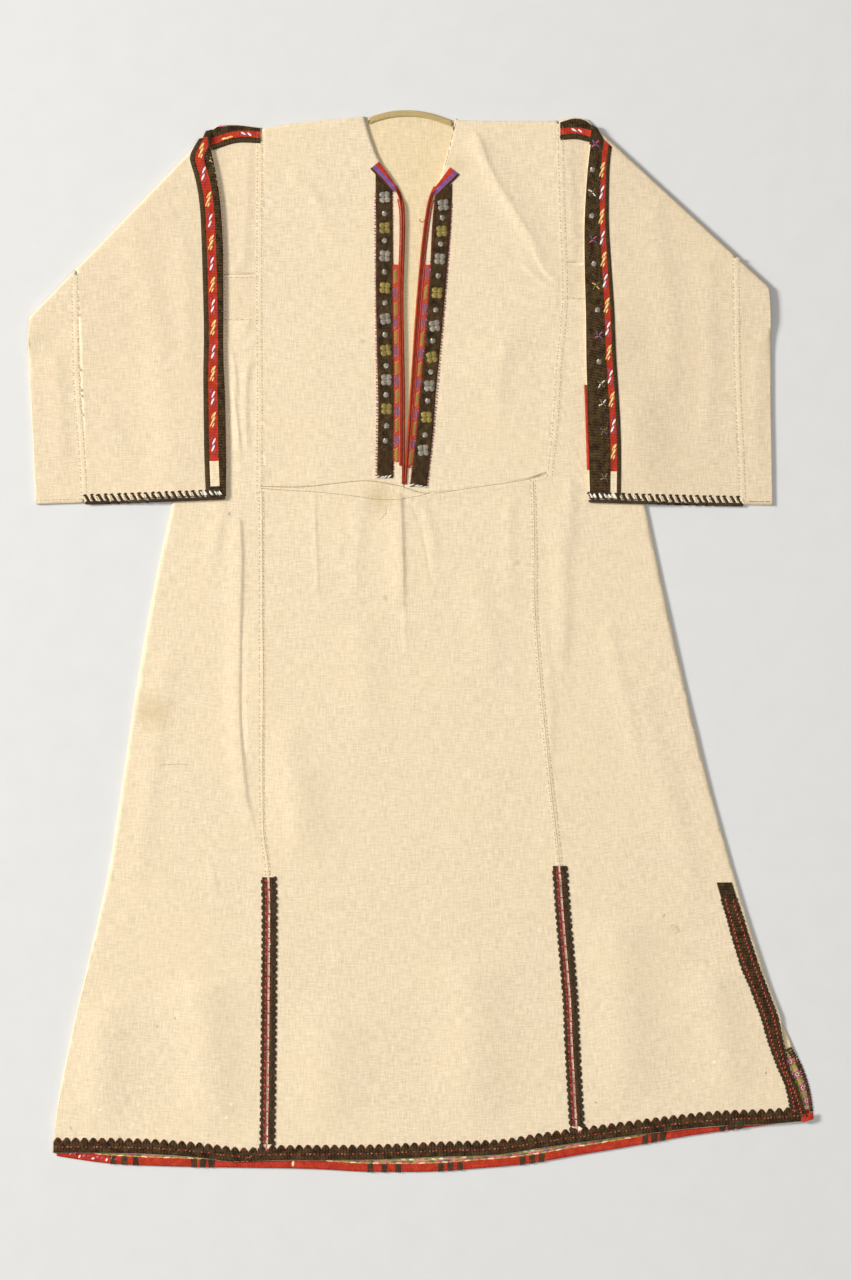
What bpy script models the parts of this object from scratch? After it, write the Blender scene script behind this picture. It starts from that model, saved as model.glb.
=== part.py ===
"""Long chemise of hand-woven cotton, laid flat on its back with both sleeves folded down.

Every length below is in millimetres. Across the cloth, x runs from the garment's centre line
and y runs up from the lowest point of the hem. The finished part is in metres, with its origin
under the middle of the laid garment and +Y towards the neck.
"""

import math
from collections import namedtuple

import bmesh
import bpy
from mathutils import Vector
from mathutils.bvhtree import BVHTree

MILLIMETRE = 0.001
LAID_LENGTH = 1221.0
LAID_CENTRE_X = 0.2

# Cloth and the spaces between plies
CLOTH = 1.2
PLY_GAP = 0.4
SEAM_HALF = 0.2
TUBE_SEAM_HALF = 0.4
MIN_ROW = 5.0
BODICE_COLUMNS, BODICE_ROWS = 7, 20
GORE_COLUMNS, SKIRT_ROWS, SEAM_STEPS = 6, 18, 12
PROBE = 0.9
TRIM = 0.9
TRIM_GAP = 0.3
FACING = 0.8
BACK_TOP = CLOTH
FRONT_UNDER = BACK_TOP + PLY_GAP
TUBE = 2 * CLOTH + PLY_GAP
LIP = 1.7
LIP_CLEAR = 2.3

Edge = namedtuple("Edge", "y x")
Run = namedtuple("Run", "x y")
Strip = namedtuple("Strip", "y left right")
Fold = namedtuple("Fold", "x0 y0 x1 y1 height half_width")
Section = namedtuple("Section", "inner_x inner_y outer_x outer_y seam_share")

# Upper edge of the body, left to right
SHOULDER_LEFT = [Run(-182, 1200), Run(-138, 1207), Run(-64, 1214)]
SHOULDER_RIGHT = [Run(40, 1210), Run(52, 1209), Run(160, 1209)]
BACK_NECK = [
    Run(-61.5, 1211.5),
    Run(-52, 1215.5),
    Run(-39, 1219),
    Run(-27, 1221),
    Run(-5, 1221),
    Run(12.6, 1218),
    Run(27.6, 1213),
    Run(37.5, 1209.5),
]

# Seams that run up and down, from the hem to the shoulder
LEFT_OUTLINE = [
    Edge(19, -423),
    Edge(71, -418),
    Edge(140, -405),
    Edge(244, -381),
    Edge(347, -358),
    Edge(451, -342),
    Edge(589, -321),
    Edge(692, -302),
    Edge(767, -285),
    Edge(888, -262),
    Edge(981, -240),
]
RIGHT_OUTLINE = [
    Edge(60, 451.4),
    Edge(82, 448),
    Edge(108, 441.3),
    Edge(150, 427),
    Edge(209, 404),
    Edge(272, 383),
    Edge(347, 360),
    Edge(451, 331),
    Edge(589, 298),
    Edge(692, 275),
    Edge(767, 259),
    Edge(880, 232),
    Edge(1006, 200),
]
# The front's right edge turns in from the outline where the side slit opens
SLIT_TURN_IN = [Edge(50, 11), Edge(70, 11.2), Edge(110, 10.8), Edge(140, 11), Edge(184, 0)]
SIDE_SLIT_TOP = 190.0
SLIT_EASE = 34.0
WAIST_STEP = 801.0
LEFT_SKIRT_SEAM = [
    Edge(0, -176),
    Edge(198, -174),
    Edge(336, -174),
    Edge(408, -181),
    Edge(574, -181),
    Edge(790, -182),
    Edge(1214, -182),
]
RIGHT_SKIRT_SEAM = [
    Edge(30, 184),
    Edge(48, 180.5),
    Edge(152, 174.5),
    Edge(198, 172.5),
    Edge(301, 164),
    Edge(353, 160),
    Edge(497, 144),
    Edge(635, 132),
    Edge(704, 131),
    Edge(800, 129),
]
BACK_SEAM_RIGHT = [Edge(0, 178), Edge(400, 166), Edge(700, 160), Edge(1006, 164)]
RIGHT_BODICE_SEAM = [
    Edge(800, 147),
    Edge(866, 154),
    Edge(929, 157.5),
    Edge(1006, 164),
    Edge(1214, 159),
]
WAIST = [
    Run(-183, 788),
    Run(-138, 787),
    Run(-90, 792),
    Run(-57, 794),
    Run(-23, 788),
    Run(8, 780),
    Run(63, 787),
    Run(129, 797),
    Run(148, 805),
]

# Edges of the front slit, from the waist seam to the neck
SLIT_LEFT = [
    Edge(788, -18.6),
    Edge(822, -17.6),
    Edge(888, -18),
    Edge(1003, -20),
    Edge(1049, -19),
    Edge(1110, -19),
    Edge(1120, -22.5),
    Edge(1146, -36.5),
    Edge(1159, -45.5),
    Edge(1174, -51),
    Edge(1192, -57.5),
    Edge(1214, -64),
]
SLIT_RIGHT = [
    Edge(788, -17.8),
    Edge(822, -15.2),
    Edge(866, -12.7),
    Edge(954, -7),
    Edge(1013, -2.5),
    Edge(1068, 4),
    Edge(1112, 9),
    Edge(1127, 16),
    Edge(1146, 24),
    Edge(1171, 31),
    Edge(1186, 36),
    Edge(1210, 40),
]

# Hem lines, left to right
FRONT_HEM = [
    Run(-423, 22),
    Run(-325, 21),
    Run(-261, 17),
    Run(-199, 10),
    Run(-178, 13),
    Run(-57, 14),
    Run(11, 17),
    Run(90, 20),
    Run(136, 27),
    Run(186, 34),
    Run(294, 48),
    Run(346, 53),
    Run(400, 55),
    Run(447, 59),
]
BACK_HEM = [
    Run(-423, 19),
    Run(-361, 10),
    Run(-272, 6),
    Run(-127, 3.5),
    Run(-67, 0.3),
    Run(-28, 0),
    Run(12, 0.3),
    Run(60, 3.5),
    Run(121, 9),
    Run(180, 19),
    Run(240, 29),
    Run(300, 40),
    Run(361, 49),
    Run(400, 54),
    Run(452, 62),
]

# Where the outlines of the back panels have corners along the hem and the shoulders
BACK_CENTRE_HEM = (-175, -127, -67, -28, 12, 60, 121, 177.6)
BACK_LEFT_HEM = (-419.5, -361, -272, -220)
BACK_RIGHT_HEM = (240, 300, 361, 400, 449)
BACK_SHOULDER_RIGHT = (158.8, 100, 52, 40)
BACK_SHOULDER_LEFT = (-63, -100, -138, -181.8)
LEFT_CORNER_Y = 28.0
RIGHT_CORNER_Y = 66.0

# Standing folds in the front, each a soft ridge between two points
FOLDS = [
    Fold(-23, 768, -17, 600, 2.2, 7),
    Fold(-208, 752, -206, 430, 2.0, 9),
    Fold(171, 780, 161, 540, 1.8, 10),
    Fold(55, 1195, 160, 1030, 1.5, 12),
    Fold(-140, 470, -120, 360, 1.4, 22),
    Fold(-212, 942, -204, 840, 1.3, 7),
    Fold(60, 905, 130, 985, 1.1, 24),
    Fold(-255, 230, -232, 20, 2.8, 30),
    Fold(-360, 200, -372, 20, 2.2, 26),
    Fold(-100, 190, -112, 15, 2.2, 34),
    Fold(60, 250, 66, 20, 2.6, 36),
    Fold(225, 300, 243, 40, 2.6, 32),
    Fold(330, 240, 366, 55, 2.0, 24),
]
FOLD_FADE = 45.0
HEM_RISE = 1.2
HEM_RISE_FULL = 20.0
HEM_RISE_REACH = 60.0
SLEEVE_INNER_LEFT = -222.0
SLEEVE_INNER_RIGHT = 188.0
SLEEVE_CLEAR = 15.0
CUFF_Y = 764.0

# Where the columns of the skirt's front run, as places along its waist
SKIRT_COLUMNS = (
    (-182, -165, -147, -131, -121, -108, -88, -68, -50, -37, -29, -23, -17, -10)
    + (3, 20, 38, 58, 76, 94, 113, 129)
)

# Sleeves, from the armhole to the diagonal fold, then from the fold to the cuff
LEFT_UNDER = [
    Section(-182.2, 1201, -182.2, 981, 0.775),
    Section(-212, 1204.5, -276, 981, 0.765),
    Section(-234, 1203, -379, 981, 0.75),
    Section(-244, 1193, -448.4, 980, 0.735),
]
LEFT_FOLDED = [
    Section(-242, 1190, -449.5, 978, 0.735),
    Section(-233, 1146, -451, 962, 0.738),
    Section(-228, 1109, -450.5, 943, 0.74),
    Section(-225.5, 1060, -450, 925, 0.742),
    Section(-225, 1000, -449, 904, 0.744),
    Section(-225, 940, -447.5, 876, 0.744),
    Section(-223, 885, -445.5, 842, 0.744),
    Section(-222, 830, -444, 806, 0.745),
    Section(-222, 775.5, -442.5, 768, 0.745),
]
RIGHT_UNDER = [
    Section(159.8, 1209, 165.4, 1006, 0.81),
    Section(177, 1213, 253, 1006, 0.81),
    Section(191, 1211, 335, 1007, 0.81),
    Section(199.5, 1201.9, 399.5, 1017, 0.807),
]
RIGHT_FOLDED = [
    Section(197.5, 1199.5, 401.5, 1013, 0.807),
    Section(193, 1165, 403.3, 999, 0.81),
    Section(190, 1130, 403.5, 980, 0.812),
    Section(188, 1088, 403.7, 958, 0.815),
    Section(188.3, 1040, 403.7, 934, 0.818),
    Section(189.8, 985, 403.7, 905, 0.82),
    Section(190.4, 930, 404, 872, 0.824),
    Section(192, 878, 404.6, 838, 0.827),
    Section(194.4, 772, 406, 767, 0.83),
]
SLEEVE_DROP = TUBE + PLY_GAP
TURN_AXIS = TUBE + 0.5 * PLY_GAP

# Places along a sleeve: share of its lower half, angle round the fold, share of its upper half
SLEEVE_STATIONS = (
    [("under", share) for share in (0.0, 0.33, 0.66, 0.9)]
    + [("turn", angle) for angle in range(0, 181, 30)]
    + [("folded", (k + 1) / 11) for k in range(11)]
)
FOLDED_BAND_STATIONS = [("turn", 90), ("turn", 120), ("turn", 150)] + [
    ("folded", share) for share in (0.0, 0.08, 0.17, 0.27, 0.38, 0.5, 0.62, 0.74, 0.86, 0.985)
]
SHOULDER_BAND_STATIONS = [("under", share) for share in (0.02, 0.15, 0.3, 0.45, 0.58)]
BAND_WRAP = (90, 60, 30)
ACROSS_MAIN, ACROSS_STRIP, ROUND_FOLD = 5, 1, 4
DROP_MARGIN = 24.0
DROP_RAMP = 30.0
GORE_TOP_LEFT = 980.4
GORE_TOP_RIGHT = 1005.4

# Braid and embroidered strips on the bodice
PLACKET_LEFT = [
    Strip(798, -49.5, -31),
    Strip(881, -48, -30),
    Strip(940, -49.5, -30),
    Strip(1027, -51, -31),
    Strip(1086, -50.6, -31.5),
    Strip(1127, -51.2, -32),
]
PLACKET_RIGHT = [
    Strip(788, -11.5, 7.7),
    Strip(811, -9, 10.7),
    Strip(851, -4, 15),
    Strip(896, 0.5, 18),
    Strip(940, 4.6, 22.4),
    Strip(983, 8.6, 26.5),
    Strip(1042, 12, 31.5),
    Strip(1086, 13.6, 35),
    Strip(1123, 17, 36.8),
]
PEAKS_LEFT = (20.5, 13.8, 7.2, 0.5)
PEAKS_RIGHT = (0.5, 4.8, 9.2, 13.5)
RED_STRIP_LEFT = [Strip(818, -30, -23), Strip(940, -29.4, -23.8), Strip(1045, -30.4, -24.6)]
RED_STRIP_RIGHT = [Strip(812, -11.8, -9.4), Strip(940, -3, 4), Strip(1042, 5.8, 11.4)]
PIPING_WIDTH = 4.0
PIPING_INSET = 0.1
PIPING_TOP = 1118.0
PIPING_BOTTOM = 794.0
TAB_LEFT = ((-33, 1133.5), (-23.2, 1121.2), (-57, 1158), (-46.2, 1159.5))
TAB_RIGHT = ((10.5, 1121), (16.5, 1124.2), (35, 1154), (43.5, 1150))

# Braids on the skirt seams, on the side seam and along the hem
SEAM_BRAID_HALF = 7.6
SEAM_BRAID_GROOVE = 1.2
LEFT_BRAID_TOP = 339.0
RIGHT_BRAID_TOP = 352.0
SIDE_BRAID = [
    Strip(76, 425, 435.5),
    Strip(107, 415, 428.5),
    Strip(140, 404.5, 417.5),
    Strip(176, 392.6, 411.8),
    Strip(209, 380.5, 400),
    Strip(241, 367.5, 388),
    Strip(298, 351, 369.5),
    Strip(333, 341, 358.5),
]
HEM_BRAID_HEIGHT = 12.4
SCALLOP_PITCH = 10.3
SCALLOP_HEIGHT = 5.2
SCALLOP_SHAPE = ((0.0, 0.0), (0.3, 0.95), (0.7, 0.95))
HEM_BRAID_INSET = 0.4
HEM_BRAIDS = (
    ("hem_braid_left", -421.5, -177.0),
    ("hem_braid_centre", -174.8, 182.0),
    ("hem_braid_right", 184.4, 438.0),
)
BRAID_CLEAR = 1.5
BINDING_HEIGHT = 11.0
BINDING_ENDS = (-418.0, 448.0)
FACING_HEIGHT = 16.0
FACING_ENDS = (-414.0, 434.0)
SIDE_FACING_WIDTH = 7.4
SIDE_FACING_INSET = 2.8
SIDE_FACING_FOOT = 76.0
SIDE_FACING_TOP = 141.0
NECK_HEM_WIDTH = 7.5
NECK_HEM_ENDS = (-58.5, 36.5)
# Widths at the diagonal fold and at the cuff
SLEEVE_BAND_LEFT = (24.0, 26.0)
SLEEVE_BAND_RIGHT = (26.0, 37.5)
SHOULDER_BAND = (18.0, 18.0)

FRONT_PANELS = ("bodice_left", "bodice_right", "skirt_front", "gore_left", "gore_right")
MATERIALS = {
    "cotton": ((0.86, 0.76, 0.60), 0.9),
    "black_wool": ((0.045, 0.038, 0.028), 0.85),
    "red_wool": ((0.55, 0.06, 0.035), 0.8),
    "pattern_braid": ((0.50, 0.12, 0.10), 0.75),
}


def smoothstep(value):
    value = min(1.0, max(0.0, value))
    return value * value * (3 - 2 * value)


def lerp(a, b, share):
    return a + (b - a) * share


def curve_value(knots, at):
    """Smooth curve through (at, value) knots, as a cubic with the slopes of its neighbours."""
    if at <= knots[0][0]:
        return knots[0][1]
    if at >= knots[-1][0]:
        return knots[-1][1]
    i = next(k for k in range(len(knots) - 1) if at <= knots[k + 1][0])
    (a, va), (b, vb) = knots[i], knots[i + 1]
    chord = (vb - va) / (b - a)

    def slope(k):
        if k == 0 or k == len(knots) - 1:
            return chord
        (p, vp), (q, vq) = knots[k - 1], knots[k + 1]
        return (vq - vp) / (q - p)

    span = b - a
    t = (at - a) / span
    h00 = 2 * t**3 - 3 * t**2 + 1
    h10 = t**3 - 2 * t**2 + t
    return (
        h00 * va
        + h10 * span * slope(i)
        + (1 - h00) * vb
        + (t**3 - t**2) * span * slope(i + 1)
    )


def edge_x(table, y):
    return curve_value([(row.y, row.x) for row in table], y)


def run_y(table, x):
    return curve_value([(row.x, row.y) for row in table], x)


def fold_height(fold, x, y):
    """Height of one soft ridge at a point, fading past its ends."""
    dx, dy = fold.x1 - fold.x0, fold.y1 - fold.y0
    length = math.hypot(dx, dy)
    along = ((x - fold.x0) * dx + (y - fold.y0) * dy) / length
    across = ((x - fold.x0) * dy - (y - fold.y0) * dx) / length
    fade = smoothstep((along + FOLD_FADE) / FOLD_FADE)
    fade *= smoothstep((length + FOLD_FADE - along) / FOLD_FADE)
    return fold.height * fade * math.exp(-((across / fold.half_width) ** 2))


def free_of_sleeves(x, y):
    """0 where a folded sleeve lies on the body, 1 well clear of it."""
    between = smoothstep((x - SLEEVE_INNER_LEFT) / SLEEVE_CLEAR) * smoothstep(
        (SLEEVE_INNER_RIGHT - x) / SLEEVE_CLEAR
    )
    return max(between, smoothstep((CUFF_Y - y) / SLEEVE_CLEAR))


def front_under(x, y):
    """Height of the front's underside over the floor."""
    ridges = sum(fold_height(fold, x, y) for fold in FOLDS)
    hem = run_y(FRONT_HEM, x)
    rise = HEM_RISE * (1 - smoothstep((y - hem - HEM_RISE_FULL) / HEM_RISE_REACH))
    return FRONT_UNDER + max(ridges * free_of_sleeves(x, y), rise)


FRONT_FACES = {}


def front_top(x, y):
    """Height of the front's upper face, from the panels as built."""
    heights = [front_under(x, y) + CLOTH]
    for dx, dy in ((0, 0), (PROBE, 0), (-PROBE, 0), (0, PROBE), (0, -PROBE), (0, 4 * PROBE)):
        for tree in FRONT_FACES.values():
            hit = tree.ray_cast(Vector((x + dx, y + dy, 100.0)), Vector((0, 0, -1)))[0]
            if hit is not None and hit.z > BACK_TOP + 0.5:
                heights.append(hit.z)
    return max(heights)


def clear_scene():
    for obj in list(bpy.data.objects):
        bpy.data.objects.remove(obj, do_unlink=True)


def cloth_material(name):
    found = bpy.data.materials.get(name)
    if found:
        return found
    colour, roughness = MATERIALS[name]
    made = bpy.data.materials.new(name)
    made.use_nodes = True
    shader = made.node_tree.nodes["Principled BSDF"]
    shader.inputs["Base Color"].default_value = (*colour, 1)
    shader.inputs["Roughness"].default_value = roughness
    shader.inputs["Metallic"].default_value = 0.0
    return made


def add_object(name, points, faces, material):
    """A named object from points in millimetres and faces that look outwards."""
    placed = [
        (
            (x - LAID_CENTRE_X) * MILLIMETRE,
            (y - LAID_LENGTH / 2) * MILLIMETRE,
            z * MILLIMETRE,
        )
        for x, y, z in points
    ]
    mesh = bpy.data.meshes.new(name)
    mesh.from_pydata(placed, [], faces)
    mesh.materials.append(cloth_material(material))
    mesh.update()
    obj = bpy.data.objects.new(name, mesh)
    bpy.context.scene.collection.objects.link(obj)
    return obj


def add_slab(name, under, over, material):
    """A wall between two grids of points, rows of columns, closed round its rim."""
    rows, cols = len(over), len(over[0])
    count = rows * cols
    points = [p for row in over for p in row] + [p for row in under for p in row]
    faces = []
    if name in FRONT_PANELS:
        quads = [
            (r * cols + c, r * cols + c + 1, (r + 1) * cols + c + 1, (r + 1) * cols + c)
            for r in range(rows - 1)
            for c in range(cols - 1)
        ]
        FRONT_FACES[name] = BVHTree.FromPolygons(points, quads)
    for r in range(rows - 1):
        for c in range(cols - 1):
            a = r * cols + c
            quad = (a, a + 1, a + cols + 1, a + cols)
            faces.append(quad)
            faces.append(tuple(count + i for i in reversed(quad)))
    rim = [(0, c) for c in range(cols)]
    rim += [(r, cols - 1) for r in range(1, rows)]
    rim += [(rows - 1, c) for c in range(cols - 2, -1, -1)]
    rim += [(r, 0) for r in range(rows - 2, 0, -1)]
    ring = [r * cols + c for r, c in rim]
    for a, b in zip(ring, ring[1:] + ring[:1]):
        faces.append((b, a, count + a, count + b))
    return add_object(name, points, faces, material)


def panel_grid(left, right, low, high, column_shares, levels):
    """Points of a panel between two side curves x(y) and two cross curves y(x)."""
    grid = []
    for level in levels:
        line = []
        for share in column_shares:
            y = lerp(low(0), high(0), level)
            for _ in range(6):
                x = lerp(left(y), right(y), share)
                y = lerp(low(x), high(x), level)
            line.append((x, y))
        grid.append(line)
    return grid


def even_shares(columns):
    return [c / columns for c in range(columns + 1)]


def levels_through(ys, low_y, high_y):
    """Shares of the way up a seam at which rows meet the neighbour's rows."""
    kept = [low_y]
    for y in sorted(ys):
        if y > kept[-1] + MIN_ROW and y < high_y - MIN_ROW:
            kept.append(y)
    kept.append(high_y)
    return [(y - low_y) / (high_y - low_y) for y in kept]


def lay_panel(name, grid, under, thickness, material="cotton"):
    """A panel whose underside follows under(x, y)."""
    low = [[(x, y, under(x, y)) for x, y in row] for row in grid]
    top = [[(x, y, z + thickness) for x, y, z in row] for row in low]
    return add_slab(name, low, top, material)


def add_plate(name, outline, bottom, top, material="cotton"):
    """A flat piece from its outline, drawn anticlockwise."""
    count = len(outline)
    points = [(x, y, bottom) for x, y in outline] + [(x, y, top) for x, y in outline]
    faces = [tuple(reversed(range(count))), tuple(range(count, 2 * count))]
    for k in range(count):
        after = (k + 1) % count
        faces.append((k, after, count + after, count + k))
    return add_object(name, points, faces, material)


def turned_point(low, top, depth):
    """A wall's pair of points near an edge that turns down to the floor, rounded."""
    fall = CLOTH * (1 - math.sin(min(1.0, depth / LIP) * math.pi / 2))
    return (low[0], low[1], 0.0), (top[0], top[1], top[2] - fall)


def add_bodice_half(name, outer, slit, shoulder, outer_sign):
    """Half of the front bodice: flat on the back, turned down over the shoulder line."""
    inner_edge = lambda y: edge_x(slit, y)
    outer_edge = lambda y: edge_x(outer, y) - outer_sign * SEAM_HALF
    left, right = (outer_edge, inner_edge) if outer_sign < 0 else (inner_edge, outer_edge)
    waist = lambda x: run_y(WAIST, x) + 2 * SEAM_HALF
    top = lambda x: run_y(shoulder, x)
    grid = panel_grid(
        left, right, waist, lambda x: top(x) - LIP, even_shares(BODICE_COLUMNS), even_shares(BODICE_ROWS)
    )
    depths = [LIP] * len(grid)
    for depth in (0.5 * LIP, 0.0):
        grid.append([(x, top(x) - depth) for x, _ in grid[BODICE_ROWS]])
        depths.append(depth)
    low = [[(x, y, front_under(x, y)) for x, y in row] for row in grid]
    over = [[(x, y, z + CLOTH) for x, y, z in row] for row in low]
    for r, depth in enumerate(depths):
        if depth < LIP:
            for c in range(BODICE_COLUMNS + 1):
                low[r][c], over[r][c] = turned_point(low[r][c], over[r][c], depth)
    add_slab(name, low, over, "cotton")
    return grid


def add_front_gore(name, outline, seam, top_y, outer_sign, seam_ys):
    """A gore from the armpit to the hem, with its outer edge turned down to the floor."""
    outer = lambda y: edge_x(outline, y) - (turn_in(y) if outer_sign > 0 else 0.0)
    inner = lambda y: seam(y) + outer_sign * SEAM_HALF
    hem = lambda x: run_y(FRONT_HEM, x)
    body = lambda y: outer(y) - outer_sign * LIP
    left, right = (body, inner) if outer_sign < 0 else (inner, body)
    levels = levels_through(seam_ys, hem(inner(20)), top_y)
    grid = panel_grid(left, right, hem, lambda x: top_y, even_shares(GORE_COLUMNS), levels)
    for row in grid:
        x, y = row[0] if outer_sign < 0 else row[-1]
        halfway = (outer(y) - outer_sign * 0.5 * LIP, y)
        row[:] = (
            [(outer(y), y), halfway] + row if outer_sign < 0 else row + [halfway, (outer(y), y)]
        )
    low = [[(x, y, front_under(x, y)) for x, y in row] for row in grid]
    over = [[(x, y, z + CLOTH) for x, y, z in row] for row in low]
    last = GORE_COLUMNS + 2
    edge_columns = zip((0, 1) if outer_sign < 0 else (last, last - 1), (0.0, 0.5 * LIP))
    edge_columns = list(edge_columns)
    for r, row in enumerate(grid):
        for c, depth in edge_columns:
            if outer_sign < 0 or row[-1][1] > SIDE_SLIT_TOP:
                low[r][c], over[r][c] = turned_point(low[r][c], over[r][c], depth)
    add_slab(name, low, over, "cotton")
    return grid


def turn_in(y):
    """How far the front's right edge stands back from the outline, below the side slit's top."""
    return edge_x(SLIT_TURN_IN, y) if y < SLIT_TURN_IN[-1].y else 0.0


def right_front_seam(y):
    """The seam beside the right gore, which steps outwards at the waist."""
    return edge_x(RIGHT_SKIRT_SEAM if y < WAIST_STEP else RIGHT_BODICE_SEAM, y)


def build_fronts():
    """The two bodice halves, the skirt's front and its gores. Returns the gores' outer rows."""
    bodice_left = add_bodice_half("bodice_left", LEFT_SKIRT_SEAM, SLIT_LEFT, SHOULDER_LEFT, -1)
    bodice_right = add_bodice_half(
        "bodice_right", RIGHT_BODICE_SEAM, SLIT_RIGHT, SHOULDER_RIGHT, 1
    )
    first, last = SKIRT_COLUMNS[0], SKIRT_COLUMNS[-1]
    skirt = panel_grid(
        lambda y: edge_x(LEFT_SKIRT_SEAM, y) + SEAM_HALF,
        lambda y: edge_x(RIGHT_SKIRT_SEAM, y) - SEAM_HALF,
        lambda x: run_y(FRONT_HEM, x),
        lambda x: run_y(WAIST, x) - SEAM_HALF,
        [(x - first) / (last - first) for x in SKIRT_COLUMNS],
        even_shares(SKIRT_ROWS),
    )
    lay_panel("skirt_front", skirt, front_under, CLOTH)
    rows = [row[0][1] for row in skirt + bodice_left[: BODICE_ROWS + 1]]
    left_seam = lambda y: edge_x(LEFT_SKIRT_SEAM, y)
    gore_left = add_front_gore(
        "gore_left", LEFT_OUTLINE, left_seam, GORE_TOP_LEFT, -1, rows
    )
    rows = [row[-1][1] for row in skirt + bodice_right[: BODICE_ROWS + 1]]
    gore_right = add_front_gore(
        "gore_right", RIGHT_OUTLINE, right_front_seam, GORE_TOP_RIGHT, 1, rows
    )
    return [row[0][1] for row in gore_left], [row[-1][1] for row in gore_right]


def build_backs(left_rows, right_rows):
    """Three flat panels: the centre, which reaches the neck, and two gores."""
    hem = lambda x: run_y(BACK_HEM, x)

    def shoulder(table, xs):
        return [(x, run_y(table, x) - LIP_CLEAR) for x in xs]

    def seam(table, low_y, high_y, shift):
        ys = [lerp(low_y, high_y, share) for share in even_shares(SEAM_STEPS)]
        return [(edge_x(table, y) + shift, y) for y in ys]

    left_foot, right_foot = hem(-176), hem(178)
    outline = [(x, hem(x)) for x in BACK_CENTRE_HEM]
    outline += seam(BACK_SEAM_RIGHT, right_foot, GORE_TOP_RIGHT, -SEAM_HALF)[1:]
    outline += shoulder(SHOULDER_RIGHT, BACK_SHOULDER_RIGHT)
    outline += [(row.x, row.y) for row in reversed(BACK_NECK)]
    outline += shoulder(SHOULDER_LEFT, BACK_SHOULDER_LEFT)
    outline += seam(LEFT_SKIRT_SEAM, left_foot, GORE_TOP_LEFT, SEAM_HALF)[:0:-1]
    add_plate("back_centre", outline, 0.0, BACK_TOP)

    outline = [(x, hem(x)) for x in BACK_LEFT_HEM]
    outline += seam(LEFT_SKIRT_SEAM, left_foot, GORE_TOP_LEFT, -SEAM_HALF)
    outline += [
        (edge_x(LEFT_OUTLINE, y) + LIP_CLEAR, y) for y in reversed(left_rows) if y > LEFT_CORNER_Y
    ]
    add_plate("back_gore_left", outline, 0.0, BACK_TOP)

    outline = seam(BACK_SEAM_RIGHT, right_foot, GORE_TOP_RIGHT, SEAM_HALF)[::-1]
    outline += [(x, hem(x)) for x in BACK_RIGHT_HEM]
    outline += [
        (edge_x(RIGHT_OUTLINE, y) - (LIP_CLEAR if y > SIDE_SLIT_TOP - SLIT_EASE else 0.0), y)
        for y in right_rows
        if y > RIGHT_CORNER_Y
    ]
    add_plate("back_gore_right", outline, 0.0, BACK_TOP)


def section_at(sections, share):
    """A section between table rows, share 0 at the first row and 1 at the last."""
    at = share * (len(sections) - 1)
    knots = [[(k, row[field]) for k, row in enumerate(sections)] for field in range(5)]
    return Section(*(curve_value(knot, at) for knot in knots))


def body_outline_x(sign, y):
    return edge_x(LEFT_OUTLINE if sign < 0 else RIGHT_OUTLINE, y)


def drop_at(sign, under_edge_y, x, y):
    """How far the folded sleeve sinks below the plies that carry it elsewhere."""
    past_body = sign * (x - body_outline_x(sign, y)) - DROP_MARGIN
    past_sleeve = under_edge_y - y - DROP_MARGIN
    past = min(past_body, past_sleeve)
    return SLEEVE_DROP * smoothstep(past / DROP_RAMP)


class Sleeve:
    """A flattened tube from armhole to cuff, folded over a diagonal line."""

    def __init__(self, sign, under, folded):
        self.sign, self.under, self.folded = sign, under, folded
        self.under_edge_y = under[0].outer_y
        last = under[-1]
        along_x, along_y = last.outer_x - last.inner_x, last.outer_y - last.inner_y
        length = math.hypot(along_x, along_y)
        self.out_x, self.out_y = sign * abs(along_y) / length, abs(along_x) / length

    def place(self, station, across, height):
        """World point for a spot across the tube (mm from its top fold) and in its thickness."""
        kind, value = station
        section = self.section(station)
        share = across / self.width(section)
        x = lerp(section.inner_x, section.outer_x, share)
        y = lerp(section.inner_y, section.outer_y, share)
        if kind == "under":
            return (x, y, height)
        if kind == "turn":
            angle = math.radians(value)
            radius = TURN_AXIS - height
            shift = radius * math.sin(angle)
            return (
                x + self.out_x * shift,
                y + self.out_y * shift,
                TURN_AXIS - radius * math.cos(angle),
            )
        drop = drop_at(self.sign, self.under_edge_y, x, y)
        return (x, y, 2 * TURN_AXIS - height - drop)

    def width(self, section):
        return math.hypot(
            section.outer_x - section.inner_x, section.outer_y - section.inner_y
        )

    def section(self, station):
        kind, value = station
        if kind == "under":
            return section_at(self.under, value)
        if kind == "turn":
            first, second = self.under[-1], self.folded[0]
            return Section(*(lerp(a, b, value / 180) for a, b in zip(first, second)))
        return section_at(self.folded, value)


def channel_profile(start, end, offset, steps):
    """Spots (across, height) along one face of a wall that folds round at 'start'.

    The face lies offset inside the tube's skin: it runs in at the lower ply from 'end',
    round the fold, and back along the upper ply.
    """
    facing = 1 if end > start else -1
    radius = TUBE / 2
    centre = start + facing * radius
    run = [lerp(end, centre, k / steps) for k in range(steps + 1)]
    spots = [(a, offset) for a in run]
    for k in range(1, ROUND_FOLD):
        angle = math.pi * k / ROUND_FOLD
        reach = radius - offset
        spots.append((centre - facing * reach * math.sin(angle), radius - reach * math.cos(angle)))
    spots += [(a, TUBE - offset) for a in reversed(run)]
    return spots


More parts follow.
